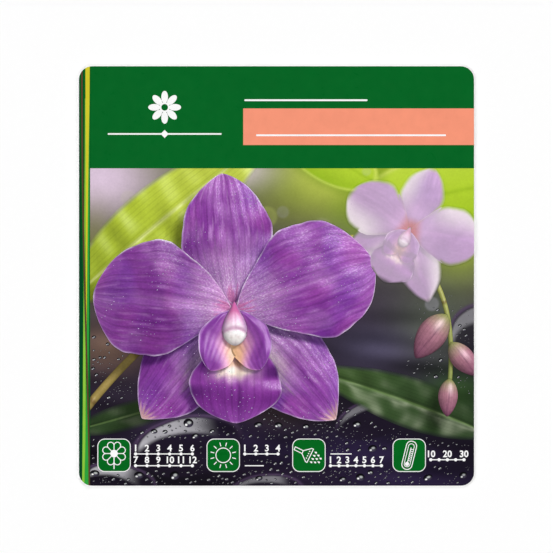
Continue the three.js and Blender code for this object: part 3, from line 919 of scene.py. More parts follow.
# %% Relief of a blade
PLAIN = {"size": 1.0, "steps": (), **dict.fromkeys((
    "base", "rise", "arch", "cup", "fold", "round", "frill", "frills", "groove", "ribs", "rib", "uneven",
    "bow", "curl", "flap", "aside"), 0)}


def outer(blade, v):
    """0 at the side of a lobe that faces the bloom's axis and 1 at its outer side."""
    return (1 + v * np.sign(blade["aside"])) / 2


def blade_height(blade, u, v, plan):
    """The height of a blade's points: the sum of its parts."""
    form = {**PLAIN, **blade}
    size, length, half = form["size"], form["length"], form["width"] / 2
    side = v * half * fullness(blade, u)
    edge = np.abs(v) ** 3 * np.sin(np.pi * u)
    t = outer(form, v)
    lobe = form["flap"] * half * fullness(blade, u) * (t ** 1.6 - 0.5 * smooth(t, 0.78, 1))
    bowed = u + form["bow"] * v ** 2
    stairs = sum(height * size * smooth(bowed, low, high) for height, low, high in form["steps"])
    return (form["base"] + lobe + stairs + form["fold"] * np.abs(side)
            + form["rise"] * length * u + form["arch"] * length * np.sin(np.pi * u)
            + (form["cup"] + form["curl"] * smooth(u, 0.42, 0.62)) * side ** 2 / half
            + form["round"] * half * fullness(blade, u) * np.sqrt(1 - v ** 2)
            + form["frill"] * size * edge * np.sin(2 * np.pi * form["frills"] * u + 2 * np.sign(v))
            - form["groove"] * size * np.exp(-(side / (0.1 * half)) ** 2)
            + form["rib"] * size * np.cos(2 * np.pi * form["ribs"] * fan(blade, u, v))
            + form["uneven"] * size * ripples(plan, 8 * size, int(form["turn"]) + 11))


def relief_of(blade, fineness):
    u, v = blade_grid(blade, fineness)
    plan = blade_plan(blade, u, v)
    return {"blade": blade, "u": u, "v": v, "plan": plan, "height": blade_height(blade, u, v, plan)}


print("Parts of a relief:", len(PLAIN))


# %% [markdown]
# Each relief is lit by a lamp at the upper right and by the open sky. That light could be baked, but it
# would take a render for each film. Here rays go out from every point: where they hit another petal, the
# point lies in shade. The lamp is broad, so its rays fan out a little, which gives the soft shadows where
# petals overlap.

# %% Lamp and sky
GOLDEN_TURN = 2.4  # spreads any number of directions evenly round a circle
KEY = np.array([0.42, 0.55, 0.72])
KEY_RADIUS = 0.07
SKY_RISE = (0.2, 0.95)
REACH = 14.0


def around(i, radius):
    return radius * math.cos(GOLDEN_TURN * i), radius * math.sin(GOLDEN_TURN * i)


KEY_SPREAD = [(*around(i, KEY_RADIUS * math.sqrt(i)), 0) for i in range(10)]
SKY = [(*around(i, math.sqrt(1 - z * z)), z) for i, z in enumerate(np.linspace(*SKY_RISE, 9))]
print("Rays from each point:", len(KEY_SPREAD), "to the lamp and", len(SKY), "to the sky")

# %% [markdown]
# A ray could be tried against every face, but there are over a hundred thousand. A search tree finds the
# face that it hits in a few steps. All the reliefs go into one tree, so that each can shade any other.

# %% Light on the reliefs
RAY_START = 0.12
LIGHT = {"everywhere": 0.14, "sky": 0.38, "lamp": 0.76}
SHEEN = {"in_shade": 0.25, "sharpness": 36}
print("Light in the deepest shade:", LIGHT["everywhere"], "and in full light:", round(sum(LIGHT.values()), 2))


def normals_of(points):
    """The way each point of a grid faces."""
    normal = np.cross(np.gradient(points, axis=0), np.gradient(points, axis=1))
    length = np.linalg.norm(normal, axis=-1, keepdims=True)
    return np.where(length > 1e-12, normal / np.maximum(length, 1e-12), [0, 0, 1])


def open_share(tree, starts, directions, reach):
    """The share of the rays from each point that hit nothing."""
    rays = [Vector(d).normalized() for d in directions]
    free = [sum(tree.ray_cast(p, ray, reach)[0] is None for ray in rays) for p in starts]
    return np.array(free) / len(rays)


def light_reliefs(reliefs):
    """Adds each relief's light, sky and sheen."""
    points, faces, count = [], [], 0
    for relief in reliefs:
        cloud = np.dstack([relief["plan"], relief["height"]])
        relief["normal"] = normals_of(cloud)
        relief["cloud"] = cloud
        points.append(cloud.reshape(-1, 3))
        faces.append(quads(*cloud.shape[:2]) + count)
        count += len(points[-1])
    tree = BVHTree.FromPolygons(np.concatenate(points).tolist(), np.concatenate(faces).tolist())
    half_way = (KEY + [0, 0, 1]) / np.linalg.norm(KEY + [0, 0, 1])
    for relief in reliefs:
        lifted = relief["cloud"] + RAY_START * relief["normal"]
        starts = [Vector(p) for p in lifted.reshape(-1, 3).tolist()]
        shape = relief["u"].shape
        lamp = open_share(tree, starts, KEY + np.array(KEY_SPREAD), 3 * REACH).reshape(shape)
        sky = open_share(tree, starts, SKY, REACH).reshape(shape)
        facing = np.maximum(0, relief["normal"] @ KEY)
        mirrored = np.maximum(0, relief["normal"] @ half_way) ** SHEEN["sharpness"]
        relief["light"] = LIGHT["everywhere"] + LIGHT["sky"] * sky + LIGHT["lamp"] * lamp * facing
        relief["sheen"] = (SHEEN["in_shade"] + (1 - SHEEN["in_shade"]) * lamp) * mirrored
    return count


# %% [markdown]
# ## From a lit relief to a film
#
# The pressed film keeps the relief's points in plan, a colour at each point, and a UV map in which U runs
# from base to tip and V across, so that the veins can follow the petal. An image could hold the colours,
# but points about a quarter of a millimetre apart are fine enough. The film is trimmed to the picture, and
# gets walls and an underside, so that it is closed like the others.


# %% Pressed film
POINT_MERGE = 2e-3


def trim(bm, region):
    """Cuts away what lies outside a convex region."""
    for a, b in zip(region, region[1:] + region[:1]):
        outward = -left_of(b - a)
        if any((v.co.x - a[0]) * outward[0] + (v.co.y - a[1]) * outward[1] > 1e-9 for v in bm.verts):
            bmesh.ops.bisect_plane(bm, geom=bm.verts[:] + bm.edges[:] + bm.faces[:], dist=1e-6,
                                   plane_co=(*a, 0), plane_no=(*outward, 0), clear_outer=True)


def close_below(bm, low):
    """Walls from the rim down to a level, and an underside."""
    rim = [edge for edge in bm.edges if edge.is_boundary]
    walls = bmesh.ops.extrude_edge_only(bm, edges=rim)["geom"]
    for corner in walls:
        if isinstance(corner, bmesh.types.BMVert):
            corner.co.z = low
    bmesh.ops.holes_fill(bm, edges=[edge for edge in bm.edges if edge.is_boundary])
    bmesh.ops.recalc_face_normals(bm, faces=bm.faces)


def pressed(name, plan, paint, uv, low, high, region):
    """A closed film with a painted face."""
    mesh = bpy.data.meshes.new(name)
    points = np.column_stack([plan.reshape(-1, 2), np.full(plan[..., 0].size, high)])
    mesh.from_pydata(points.tolist(), [], quads(*plan.shape[:2]).tolist())
    colours = mesh.attributes.new("Paint", "FLOAT_COLOR", "POINT")
    colours.data.foreach_set("color", np.clip(paint, 0, 1).reshape(-1, 4).astype(np.float32).ravel())
    corners = np.empty(len(mesh.loops), np.int32)
    mesh.loops.foreach_get("vertex_index", corners)
    layer = mesh.uv_layers.new(name="Motif")
    layer.data.foreach_set("uv", uv.reshape(-1, 2)[corners].astype(np.float32).ravel())
    bm = bmesh.new()
    bm.from_mesh(mesh)
    bmesh.ops.remove_doubles(bm, verts=bm.verts, dist=POINT_MERGE)
    bmesh.ops.delete(bm, geom=[edge for edge in bm.edges if edge.is_wire], context="EDGES")
    trim(bm, region)
    close_below(bm, low)
    bm.to_mesh(mesh)
    bm.free()
    return mesh


# %% [markdown]
# ## Painting helpers
#
# Paint is mixed from named colours, as on a palette: a ramp along the petal, other colours laid over it in a
# share, and a pale rim. The shares are arrays, so a whole motif is painted in one step. Alpha is free,
# because ink isn't see-through, so it carries the petals' frost.


# %% Paint helpers
TIP_BLUNTNESS = 0.8  # a round tip's edge is nearer than its end


def ramp(u, *stops):
    """Colours along u from stops of a place and a colour."""
    places, colours = [s[0] for s in stops], np.array([linear(s[1]) for s in stops])
    return np.stack([np.interp(u, places, colours[:, i]) for i in range(3)], -1)


def mix(under, over, share):
    """One colour laid over another in a share."""
    over = linear(over) if isinstance(over, str) else over
    share = np.clip(share, 0, 1)[..., None]
    return under * (1 - share) + over * share


def edge_distance(relief):
    """How far a point lies from the side of its blade, in millimetres."""
    blade = relief["blade"]
    side = (1 - np.abs(relief["v"])) * blade["width"] / 2 * fullness(blade, relief["u"])
    return np.minimum(side, (1 - relief["u"]) * blade["length"] * TIP_BLUNTNESS)


def with_frost(colour, frost=0.0):
    """Paint with its frost in the alpha."""
    frost = np.clip(frost + np.zeros(colour.shape[:-1]), 0, 1)
    return np.concatenate([colour, frost[..., None]], -1)


def motif_uv(relief):
    """U from base to tip and V across, the ribs running along V's lines."""
    return np.stack([relief["u"], 0.5 + 0.5 * fan(relief["blade"], relief["u"], relief["v"])], -1)


print("Half violet, half white:", mix(linear("7a3290"), "ffffff", np.array(0.5)).round(3))


# %% [markdown]
# ## Materials of the motifs
#
# The paint carries what is broad and soft. Finer points could carry the rest, but would make heavy meshes, so
# the material adds what is fine: veins that run with the petal, read from its UV map, mottling, and the frost
# of tiny cells that makes an orchid's petal sparkle. The alpha of the paint says how much frost a point has.


# %% Motif materials
FROST_CELLS = (56, 100, 1)  # along and across a petal
FROST_GAIN = (0.9, 2.2, 0.7)  # how much a lit cell adds to red, green and blue
FINE_VEINS = {"count": 2.3, "depth": 0.45}  # against the main veins
WAVE_PHASE = 20  # the radians that a wave texture with a scale of 1 runs through in one unit


def vein_lines(tree, uv, count, wander):
    """1 on a vein and 0 between veins, for a number of veins across the motif."""
    waves = {"Vector": uv, "Scale": math.tau * count / WAVE_PHASE, "Distortion": wander, "Detail": 2.0,
             "Detail Scale": 0.7}
    bands = add_node(tree, "ShaderNodeTexWave", waves, wave_type="BANDS", bands_direction="Y")
    line = {"Value": bands.outputs["Fac"], "From Min": 0.7, "From Max": 1.0}
    return add_node(tree, "ShaderNodeMapRange", line).outputs["Result"]


def motif_material(name, veins=0, vein_depth=0.0, frost=0.0, mottle=0.06):
    """The ink of a motif. Frost needs veins, because both read the UV map."""
    material, tree, surface = new_material(name, INK_ROUGHNESS, GLOSS)
    place = add_node(tree, "ShaderNodeTexCoord").outputs["Object"]
    paint = add_node(tree, "ShaderNodeAttribute", attribute_name="Paint")
    colour = shaded(tree, paint.outputs["Color"], tone_noise(tree, place, 2.4, mottle),
                    tone_noise(tree, place, 0.5, mottle))
    if veins:
        uv = add_node(tree, "ShaderNodeUVMap", uv_map="Motif").outputs["UV"]
        main, fine = vein_lines(tree, uv, veins, 2.2), vein_lines(tree, uv, FINE_VEINS["count"] * veins, 3.0)
        both = calculate(tree, "MULTIPLY_ADD", fine, FINE_VEINS["depth"], main)
        colour = shaded(tree, colour, calculate(tree, "MULTIPLY_ADD", both, -vein_depth, 1.0))
    if frost:
        grid = add_node(tree, "ShaderNodeVectorMath", {0: uv, 1: FROST_CELLS}, operation="MULTIPLY")
        cells = add_node(tree, "ShaderNodeTexNoise", {"Vector": grid.outputs[0], "Scale": 1.0, "Detail": 1.0})
        lit = {"Value": cells.outputs["Fac"], "From Min": 0.5, "From Max": 0.68, "To Max": frost}
        share = calculate(tree, "MULTIPLY", add_node(tree, "ShaderNodeMapRange", lit).outputs["Result"],
                          paint.outputs["Alpha"])
        gain = add_node(tree, "ShaderNodeVectorMath", {0: FROST_GAIN, "Scale": share}, operation="SCALE")
        colour = add_node(tree, "ShaderNodeVectorMath", {0: colour, 1: gain.outputs[0], 2: colour},
                          operation="MULTIPLY_ADD").outputs[0]
    tree.links.new(colour, surface.inputs["Base Color"])
    tree.links.new(surface_grain(tree, place, 0.5, 0.25), surface.inputs["Normal"])
    return material


PETAL_INK = motif_material("Petal print", veins=15, vein_depth=0.16, frost=0.6, mottle=0.08)
LIP_INK = motif_material("Lip print", veins=12, vein_depth=0.14, frost=0.5)
FAR_INK = motif_material("Far bloom print", mottle=0.03)
LEAF_INK = motif_material("Leaf print", veins=15, vein_depth=0.1, mottle=0.04)
BUD_INK = motif_material("Bud print", veins=8, vein_depth=0.12, mottle=0.1)
PLAIN_INK = motif_material("Plant print", mottle=0.07)
motif_inks = (PETAL_INK, LIP_INK, FAR_INK, LEAF_INK, BUD_INK, PLAIN_INK)
print("Motif materials:", ", ".join(ink.name for ink in motif_inks))

# %% [markdown]
# ## Blooms
#
# An orchid has three sepals behind, two broad petals in front of them, a lip that hangs in the middle and a
# column over the lip's throat. Each part could be drawn for itself. Here all are blades with their own sizes
# for one unturned bloom, and a bloom sets them in place, so two blooms cost no more than one. The near bloom
# is sharp and rich in colour. The far bloom is half the size, paler and out of focus.

# %% Bloom sizes
# Angles are in degrees. Each step: how far it rises, and where along the blade it starts and ends.
SEPAL = {"slot": "sepal", "layer": 3, "start": 1.2, "base": 0.4, "arch": 0.06, "cup": -0.16, "frill": 0.3,
         "frills": 2.2, "groove": 0.22, "ribs": 5, "rib": 0.035, "uneven": 0.17}
DORSAL = {**SEPAL, "widest": 0.54, "taper": 0.7}
LATERAL = {**SEPAL, "widest": 0.52, "taper": 0.82, "cup": -0.2, "rise": -0.03}
PETAL = {"slot": "petal", "layer": 4, "start": 0.6, "widest": 0.6, "taper": 0.6, "base": 2.4, "arch": 0.075,
         "cup": -0.13, "frill": 0.45, "frills": 2.2, "groove": 0.2, "ribs": 6, "rib": 0.015, "uneven": 0.11}
TEPALS = {
    "dorsal_sepal": {**DORSAL, "turn": 92, "length": 29.5, "width": 20.5, "bend": -0.03},
    "left_lateral_sepal": {**LATERAL, "turn": 222, "length": 31, "width": 19, "bend": 0.05},
    "right_lateral_sepal": {**LATERAL, "turn": 311, "length": 32.5, "width": 19.5, "bend": -0.06},
    # The left petal carries a painted shade, as if it were turned away from the lamp.
    "left_petal": {**PETAL, "turn": 166, "length": 31.3, "width": 26.5, "bend": 0.05, "painted_shade": 0.2},
    "right_petal": {**PETAL, "turn": 17, "length": 32.5, "width": 27, "bend": -0.05},
}
TEPAL_EDGE = {"ruffle": 0.03, "waves": 2.6, "nick": 0.008}
LIP_TURN = 266
LIP_BLADE = {"start": 1.2, "length": 24.5, "width": 21, "widest": 0.66, "taper": 0.74, "bend": 0,
             "base": 4.3, "cup": 0.2, "curl": -0.44, "steps": ((1.7, 0.34, 0.56), (-2.0, 0.62, 1.0)),
             "frill": 0.75, "frills": 4.1, "groove": 0.55, "ribs": 4, "rib": 0.04, "uneven": 0.15}
LIP_SIDE = {"start": 0.2, "length": 14.5, "width": 9.6, "widest": 0.56, "taper": 0.62, "base": 4.9,
            "steps": ((2.0, 0.45, 0.9),), "flap": 0.5, "frill": 0.15, "frills": 3.2, "ribs": 4, "rib": 0.03,
            "uneven": 0.1}
LIP_SIDES = {"left": {**LIP_SIDE, "aside": -30, "bend": 0.12},
             "right": {**LIP_SIDE, "aside": 30, "bend": -0.12}}
COLUMN = {"start": -1.8, "length": 10, "width": 5.6, "widest": 0.66, "taper": 0.55, "bend": 0, "base": 4.6,
          "round": 0.75, "groove": 0.08, "bow": -0.1,
          "steps": ((1.2, 0.0, 0.3), (-0.3, 0.54, 0.62), (0.4, 0.64, 0.74))}
FOOT = {"start": -2.2, "length": 4.4, "width": 4.4, "widest": 0.5, "taper": 0.5, "bend": 0, "base": 1.5,
        "round": 0.3}
BLOOMS = {
    "near_bloom": {"x": -9.5, "y": -7.5, "size": 1.0, "turn": 5, "depth": 0.0, "fineness": 0.2},
    "far_bloom": {"x": 29.8, "y": 10.2, "size": 0.5, "turn": -22, "depth": -9.0, "fineness": 0.25},
}


def placed(form, bloom, turn):
    """A blade of a bloom, grown to its size and turned with it."""
    size = bloom["size"]
    x, y = np.array([bloom["x"], bloom["y"]]) + heading(turn) * form["start"] * size
    return {**form, "x": x, "y": y, "turn": turn, "size": size, "length": form["length"] * size,
            "width": form["width"] * size, "base": form["base"] * size + bloom["depth"]}


for part, tepal in TEPALS.items():
    print(f"{part} reaches {tepal['start'] + tepal['length']} mm from the bloom's middle")


# %% [markdown]
# The lip has a broad middle lobe, which hangs down and curls over, and two side lobes, which stand up round
# the column like a collar. One sheet with folds could make all three, but separate blades cast shadows on
# each other. The column is a blade too, and so is the small round foot that joins the tepals behind them.


# %% Reliefs of a bloom
def bloom_reliefs(bloom):
    """The relief of each part of a bloom, by the part's name."""
    down = LIP_TURN + bloom["turn"]
    forms = {part: ({**tepal, **TEPAL_EDGE}, tepal["turn"] + bloom["turn"]) for part, tepal in TEPALS.items()}
    forms["lip"] = ({**LIP_BLADE, **TEPAL_EDGE}, down)
    for side, lobe in LIP_SIDES.items():
        forms[f"lip_{side}_lobe"] = ({**lobe, **TEPAL_EDGE}, down + lobe["aside"])
    forms["column"] = (COLUMN, down)
    forms["foot"] = (FOOT, down)
    return {part: relief_of(placed(form, bloom, turn), bloom["fineness"])
            for part, (form, turn) in forms.items()}


# %% [markdown]
# ## Leaves, stem and buds
#
# The leaves are long blades folded along the midrib, so that their two halves catch the light differently.
# The buds hang from the stem and are nearly round. Leaves, stem and buds all lie deeper than the near bloom,
# which then casts its shadow on them.

# %% Leaf, stem and bud sizes
LEAF = {"slot": "leaf", "widest": 0.46, "taper": 0.8, "bend": -0.06, "base": -7.0, "arch": 0.03, "fold": 0.2,
        "cup": -0.1, "uneven": 0.3, "groove": 0.3}
DARK_LEAF = {**LEAF, "slot": "dark_leaf", "widest": 0.42, "taper": 0.9, "bend": 0.06, "base": -11.0}
LEAVES = {
    "upper_leaf": {**LEAF, "x": -48, "y": -7, "turn": 43, "length": 62, "width": 17},
    "lower_leaf": {**DARK_LEAF, "x": 49, "y": -36, "turn": 157, "length": 47, "width": 11.5},
    "side_leaf": {**DARK_LEAF, "widest": 0.4, "bend": 0.05, "x": -47, "y": -35.2, "turn": 14, "length": 38,
                  "width": 6.4},
}
STEM = {"width": 1.9, "tip_width": 1.0, "depth": -5.0, "knots": [(-46, -34), (-14, 10), (44, 30), (39, -24)],
        "steps": (321, 13), "joints": 11, "joint_length": 0.035, "swelling": 0.25, "edge_height": 0.03}
LEAF_FINENESS, BUD_FINENESS = 0.3, 0.2
BUD = {"slot": "bud", "widest": 0.45, "taper": 0.68, "bend": 0.06, "base": -4.5, "round": 0.85}
BUDS = {
    "bud_large": {**BUD, "along": 0.89, "turn": 230, "length": 12, "width": 6.6},
    "bud_middle": {**BUD, "along": 0.94, "turn": 306, "length": 9.5, "width": 5.2},
    "bud_tip": {**BUD, "along": 0.995, "turn": 262, "length": 8.5, "width": 4.4},
}
print("Leaves and buds:", ", ".join([*LEAVES, *BUDS]))


# %% [markdown]
# The stem isn't a blade, because it follows a curve. A curve object with a bevel could make it, but as a
# whole tube, and only the side that faces up is printed. So it is a stroke along a curve with four control
# points, round in relief, with a swelling at each joint. Now every relief is there, and one pass lights them.


# %% Stem, and all reliefs lit
def stem_point(t):
    """Points along the stem, from 0 at its base to 1 at its tip."""
    a, b, c, d = (np.array(k, float) for k in STEM["knots"])
    t = np.asarray(t)[..., None]
    return (1 - t) ** 3 * a + 3 * (1 - t) ** 2 * t * b + 3 * (1 - t) * t ** 2 * c + t ** 3 * d


def stem_relief():
    along, across = STEM["steps"]
    t, v = np.meshgrid(np.linspace(0, 1, along), np.linspace(-1, 1, across), indexing="ij")
    middle = stem_point(t[:, 0])
    run = np.gradient(middle, axis=0)
    side = np.stack([-run[:, 1], run[:, 0]], -1) / np.linalg.norm(run, axis=1, keepdims=True)
    half = (STEM["width"] + (STEM["tip_width"] - STEM["width"]) * t) / 2
    joint = np.exp(-((t * STEM["joints"] % 1 - 0.5) / STEM["joint_length"]) ** 2)
    plan = middle[:, None] + side[:, None] * (v * half)[..., None]
    back = np.sqrt(1 - (1 - STEM["edge_height"]) * v ** 2)
    height = STEM["depth"] + half * (1 + STEM["swelling"] * joint) * back
    return {"blade": {}, "u": t, "v": v, "plan": plan, "height": height, "joint": joint,
            "uv": np.stack([t, 0.5 + 0.5 * v], -1)}


reliefs = {("plant", name): relief_of(leaf, LEAF_FINENESS) for name, leaf in LEAVES.items()}
reliefs["plant", "stem"] = stem_relief()
for name, bud in BUDS.items():
    x, y = stem_point(bud["along"])
    reliefs["plant", name] = relief_of({**bud, "x": x, "y": y}, BUD_FINENESS)
for name, bloom in BLOOMS.items():
    reliefs.update({(name, part): relief for part, relief in bloom_reliefs(bloom).items()})
print("Points lit:", light_reliefs(list(reliefs.values())), "in", len(reliefs), "reliefs")

# %% [markdown]
# ## The backdrop
#
# Behind the flowers lies wet dark slate, which is out of focus towards the top, where two green leaves stand
# in the light. It has no relief worth modelling, so it is painted. A gradient comes first, then soft
# patches, then the leaves, then wet stones low down, and a few round spots of light, as a lens makes them.

# %% Backdrop colours
GRADIENT = ((-47.3, "100d15"), (-36, "17131d"), (-24, "241e2c"), (-10, "352d3c"), (4, "4c4350"),
            (14, "5c5a42"), (24.3, "6a6f3c"))
# Each patch: its middle, its two radii, its colour and its strength.
PATCHES = [
    (32, 24, 24, 13, "b4cc30", 0.97), (41, 14, 9, 12, "bcd42e", 0.9), (12, 24, 10, 7, "c6d25a", 0.8),
    (-40, 22, 12, 8, "e2cbe2", 0.97), (15, 6, 7, 6, "7d8660", 0.5), (-10, 24, 8, 4, "e6d6de", 0.8),
    (-38, -16, 8, 5, "7c6253", 0.7), (36, -10, 9, 8, "5f6858", 0.6), (22, -16, 8, 4, "5d5874", 0.5),
    (-16, -35, 16, 4, "2c2040", 0.9), (16, -40, 18, 4, "2b2040", 0.9), (0, -31, 9, 4, "2e2426", 0.7),
    (30, -46, 15, 3, "2c2140", 0.9), (41, -27, 8, 6, "2f4a22", 0.8), (-41, 6, 4, 10, "8a8a4c", 0.6),
    (-30, -30, 8, 5, "3a3040", 0.6), (2, -45, 14, 2.5, "251a30", 0.8),
]
# Each mirror: its middle, its two radii, how far its inner side is shifted, its turn, and its strength.
MIRRORS = [(-20, -38.3, 13, 7, 3.3, 10, 0.8), (-36, -47, 9, 5, 2.6, -8, 0.85),
           (39, -35, 7, 5, 2.6, -24, 0.55), (22, -32, 9, 4.5, 1.8, 18, 0.35),
           (-2, -49, 9, 4.5, 1.5, 3, 0.4), (46, -15, 7, 9, 3.5, 20, 0.4)]
# Each far leaf: its middle, its two radii and its turn.
FAR_LEAVES = [(40, 19, 24, 9.5, 12), (12, 27, 12, 6, -30)]
SPOTS = {"count": 30, "seed": 8, "lowest": -14, "highest": 24, "radius": (0.8, 2.6), "strength": (0.06, 0.22),
         "codes": ["c9c4d6", "c8d36c", "d8cfc0", "b79fd0"]}
# How strongly the painted reflections streak the wet slate.
STREAK_DEPTH = 0.22


print("Patches, far leaves, wet stones, spots:", len(PATCHES), len(FAR_LEAVES), len(MIRRORS), SPOTS["count"])


# %% [markdown]
# Each kind has its own painter, which takes the colour so far and lays more on it. A single large texture
# could hold all of this, but wouldn't say what anything is. The same backdrop is asked for again later, when
# the edges of the leaves and of the far bloom melt into it.


# %% Backdrop painters
def far_leaf(colour, plan, px, py, rx, ry, turn):
    """A leaf far behind: lit green, with a glow round it, a pale rim and a darker midrib."""
    along, across = from_point(plan, px, py, turn)
    a, b = along / rx, across / ry
    away = np.hypot(a, b)
    blade = 1 - smooth(away, 0.95, 1.05)
    colour = mix(colour, "6f8e1c", 0.45 * (1 - smooth(away, 0.95, 1.35)))
    colour = mix(colour, ramp(b, (-1, "93b81f"), (0, "b7d634"), (1, "c3dc46")), 0.85 * blade)
    colour = mix(colour, "d3e06a", 0.6 * np.exp(-((away - 0.96) / 0.04) ** 2))
    return mix(colour, "8db01f", 0.45 * np.exp(-(b / 0.06) ** 2) * blade)


def mirror(colour, plan, px, py, rx, ry, shift, turn, strength):
    """A wet stone: dark, with a crescent of glare that is sharp on one side, and a violet far side."""
    along, across = from_point(plan, px, py, turn)
    a, b = (along + 0.4 * ripples(plan, 7, 4)) / rx, across / ry
    away = np.hypot(a, b)
    stone = 1 - smooth(away, 0.93, 1.03)
    inner = smooth(np.hypot(a + 0.15, (across + shift) / ry), 0.84, 1.0)
    colour = mix(colour, "1a1322", 0.75 * stone)
    glare = inner * (1 - smooth(away, 0.84, 0.9)) * (1 - smooth(a, 0.1, 0.6))
    colour = mix(colour, "b4b2b8", strength * glare)
    return mix(colour, "6a5478", 0.5 * stone * smooth(away, 0.86, 0.97) * smooth(b, -0.2, 0.7))


def floating_spots(colour, plan):
    """Points of light that a lens has blurred into pale discs, a little brighter at their rims."""
    draw = np.random.default_rng(SPOTS["seed"])
    for _ in range(SPOTS["count"]):
        px, py = draw.uniform(PICTURE_LEFT, RIGHT), draw.uniform(SPOTS["lowest"], SPOTS["highest"])
        radius = draw.uniform(*SPOTS["radius"])
        code, strength = draw.choice(SPOTS["codes"]), draw.uniform(*SPOTS["strength"])
        away = np.hypot(plan[..., 0] - px, plan[..., 1] - py) / radius
        colour = mix(colour, code, strength * (1 - smooth(away, 0.8, 1.15)) * (0.75 + 0.25 * away ** 2))
    return colour


def backdrop(plan):
    """The colour behind the flowers at points in millimetres."""
    x, y = plan[..., 0], plan[..., 1]
    colour = ramp(y + 1.5 * ripples(plan, 22, 5), *GRADIENT)
    for px, py, rx, ry, code, strength in PATCHES:
        colour = mix(colour, code, strength * np.exp(-(((x - px) / rx) ** 2 + ((y - py) / ry) ** 2)))
    for leaf in FAR_LEAVES:
        colour = far_leaf(colour, plan, *leaf)
    for stone in MIRRORS:
        colour = mirror(colour, plan, *stone)
    colour = floating_spots(colour, plan)
    # Low down, where the slate is wet, long horizontal streaks lighten and darken it: painted reflections.
    streaks = ripples(plan * [0.25, 1.6], 7, 21) * smooth(-y, -12, 20)
    return colour * (1 + STREAK_DEPTH * streaks[..., None])


# %% [markdown]
# The ground is one film under all the others. Its points lie on a plain grid, fine enough for the sharp side
# of a crescent.


# %% Ground film
GROUND_PITCH = 0.28
WET_INK = motif_material("Wet ground print", mottle=0.035)


def grid_plan(left, bottom, right, top, pitch):
    xs = np.linspace(left, right, round((right - left) / pitch) + 1)
    ys = np.linspace(bottom, top, round((top - bottom) / pitch) + 1)
    return np.stack(np.meshgrid(xs, ys, indexing="ij"), -1)


ground = grid_plan(PICTURE_LEFT, BOTTOM, RIGHT, PICTURE_TOP, GROUND_PITCH)
ground_uv = (ground - [PICTURE_LEFT, BOTTOM]) / [RIGHT - PICTURE_LEFT, PICTURE_TOP - BOTTOM]
ground_mesh = pressed("ground", ground, with_frost(backdrop(ground)), ground_uv, *layer_levels(1), PICTURE)
make_piece("ground_print", ground_mesh, ["picture_ground"], WET_INK)

# %% [markdown]
# ## Leaves, stem and buds as print
#
# One ink carries a thing's colour, its shadows and its gloss at once. So each paint is mixed first and then
# laid under its relief's own light. A leaf's paint runs from its base to its tip, with another colour on its
# midrib and at its edge, and melts into the backdrop there, because the leaves are a little out of focus. The
# stem is tan with brown joints, and the buds are dusky pink with a green foot and a seam where the sepals
# meet.


# %% Paint the plant
LEAF_PAINTS = {
    "leaf": {"blade": ((0, "8fa22e"), (0.45, "b3c53a"), (0.8, "c3d04e"), (1, "a4b440")),
             "midrib": "d6dd8a", "edge": "6f8a26", "sheen": 0.28},
    "dark_leaf": {"blade": ((0, "2b3e24"), (0.5, "364d2b"), (1, "496233")),
                  "midrib": "6d8a50", "edge": "223a1c", "sheen": 0.2},
}
LEAF_SOFTNESS = 1.2


def under_light(colour, relief, sheen_code, sheen, contrast=1.2, shade=1.0):
    """Paint under its relief's light. A shade of three powers tints the shadows."""
    lit = colour * relief["light"][..., None] ** (contrast * shade)
    return lit + linear(sheen_code) * (sheen * relief["sheen"])[..., None]


def leaf_paint(relief):
    paint, edge = LEAF_PAINTS[relief["blade"]["slot"]], edge_distance(relief)
    colour = ramp(relief["u"], *paint["blade"])
    colour = mix(colour, paint["midrib"], 0.7 * np.exp(-(relief["v"] / 0.05) ** 2))
    colour = mix(colour, paint["edge"], 0.5 * np.exp(-(edge / 0.5) ** 2))
    colour = under_light(colour, relief, "f4f6dc", paint["sheen"])
    return mix(colour, backdrop(relief["plan"]), 0.75 * (1 - smooth(edge, 0, LEAF_SOFTNESS)))


def stem_paint(relief):
    colour = ramp(relief["u"], (0, "8d7a44"), (0.3, "b9a35c"), (0.7, "a9a45a"), (1, "8f9a55"))
    colour = mix(colour, "6b5130", 0.8 * relief["joint"])
    return under_light(colour, relief, "fff3d8", 0.3)


def bud_paint(relief):
    u, v = relief["u"], relief["v"]
    colour = ramp(u, (0, "8a9150"), (0.16, "a08a78"), (0.4, "a87583"), (0.8, "9c647c"), (1, "814e68"))
    seam = np.exp(-((v - 0.25 + 0.3 * u) / 0.05) ** 2) * smooth(u, 0.1, 0.3)
    colour = mix(colour, "5f3450", 0.6 * seam)
    return under_light(colour, relief, "ffe9f2", 0.5)


print("Paints for leaves:", ", ".join(LEAF_PAINTS))


# %% [markdown]
# Each painted relief becomes a film that reaches from the ground's face up to its own layer. It could be
# thin as a foil, but then it would hang in the air over the films beside it.


# %% Print the plant
def print_film(name, relief, paint, layer, material, nodes, drop=0.0):
    """Presses a painted relief into a film from the ground's face up to its layer, less a drop."""
    uv = relief["uv"] if "uv" in relief else motif_uv(relief)
    low, high = layer_levels(2)[0], layer_levels(layer)[1] - drop
    mesh = pressed(name, relief["plan"], paint, uv, low, high, PICTURE)
    make_piece(name + "_print", mesh, nodes, material)


for name, leaf in LEAVES.items():
    relief = reliefs["plant", name]
    print_film(name, relief, with_frost(leaf_paint(relief)), 2, LEAF_INK, [name])
stem = reliefs["plant", "stem"]
print_film("stem", stem, with_frost(stem_paint(stem)), 2, PLAIN_INK, ["spray_stem"])
for name in BUDS:
    relief = reliefs["plant", name]
    print_film(name, relief, with_frost(bud_paint(relief)), 3, BUD_INK, [name])

# %% [markdown]
# ## Blooms as print
#
# Nothing on a petal is even, and that makes its paint look alive. Even colour with a texture over it would
# be simpler, but the unevenness has to follow the petal. Two helpers do that: a thin pale rim that comes and
# goes, and noise drawn out along the grain. Shadows on the tepals and the lip turn violet rather than grey,
# because light that has passed through one petal falls on the next.


# %% Rim and grain
VIOLET_SHADE = np.array([1.02, 1.14, 0.84])


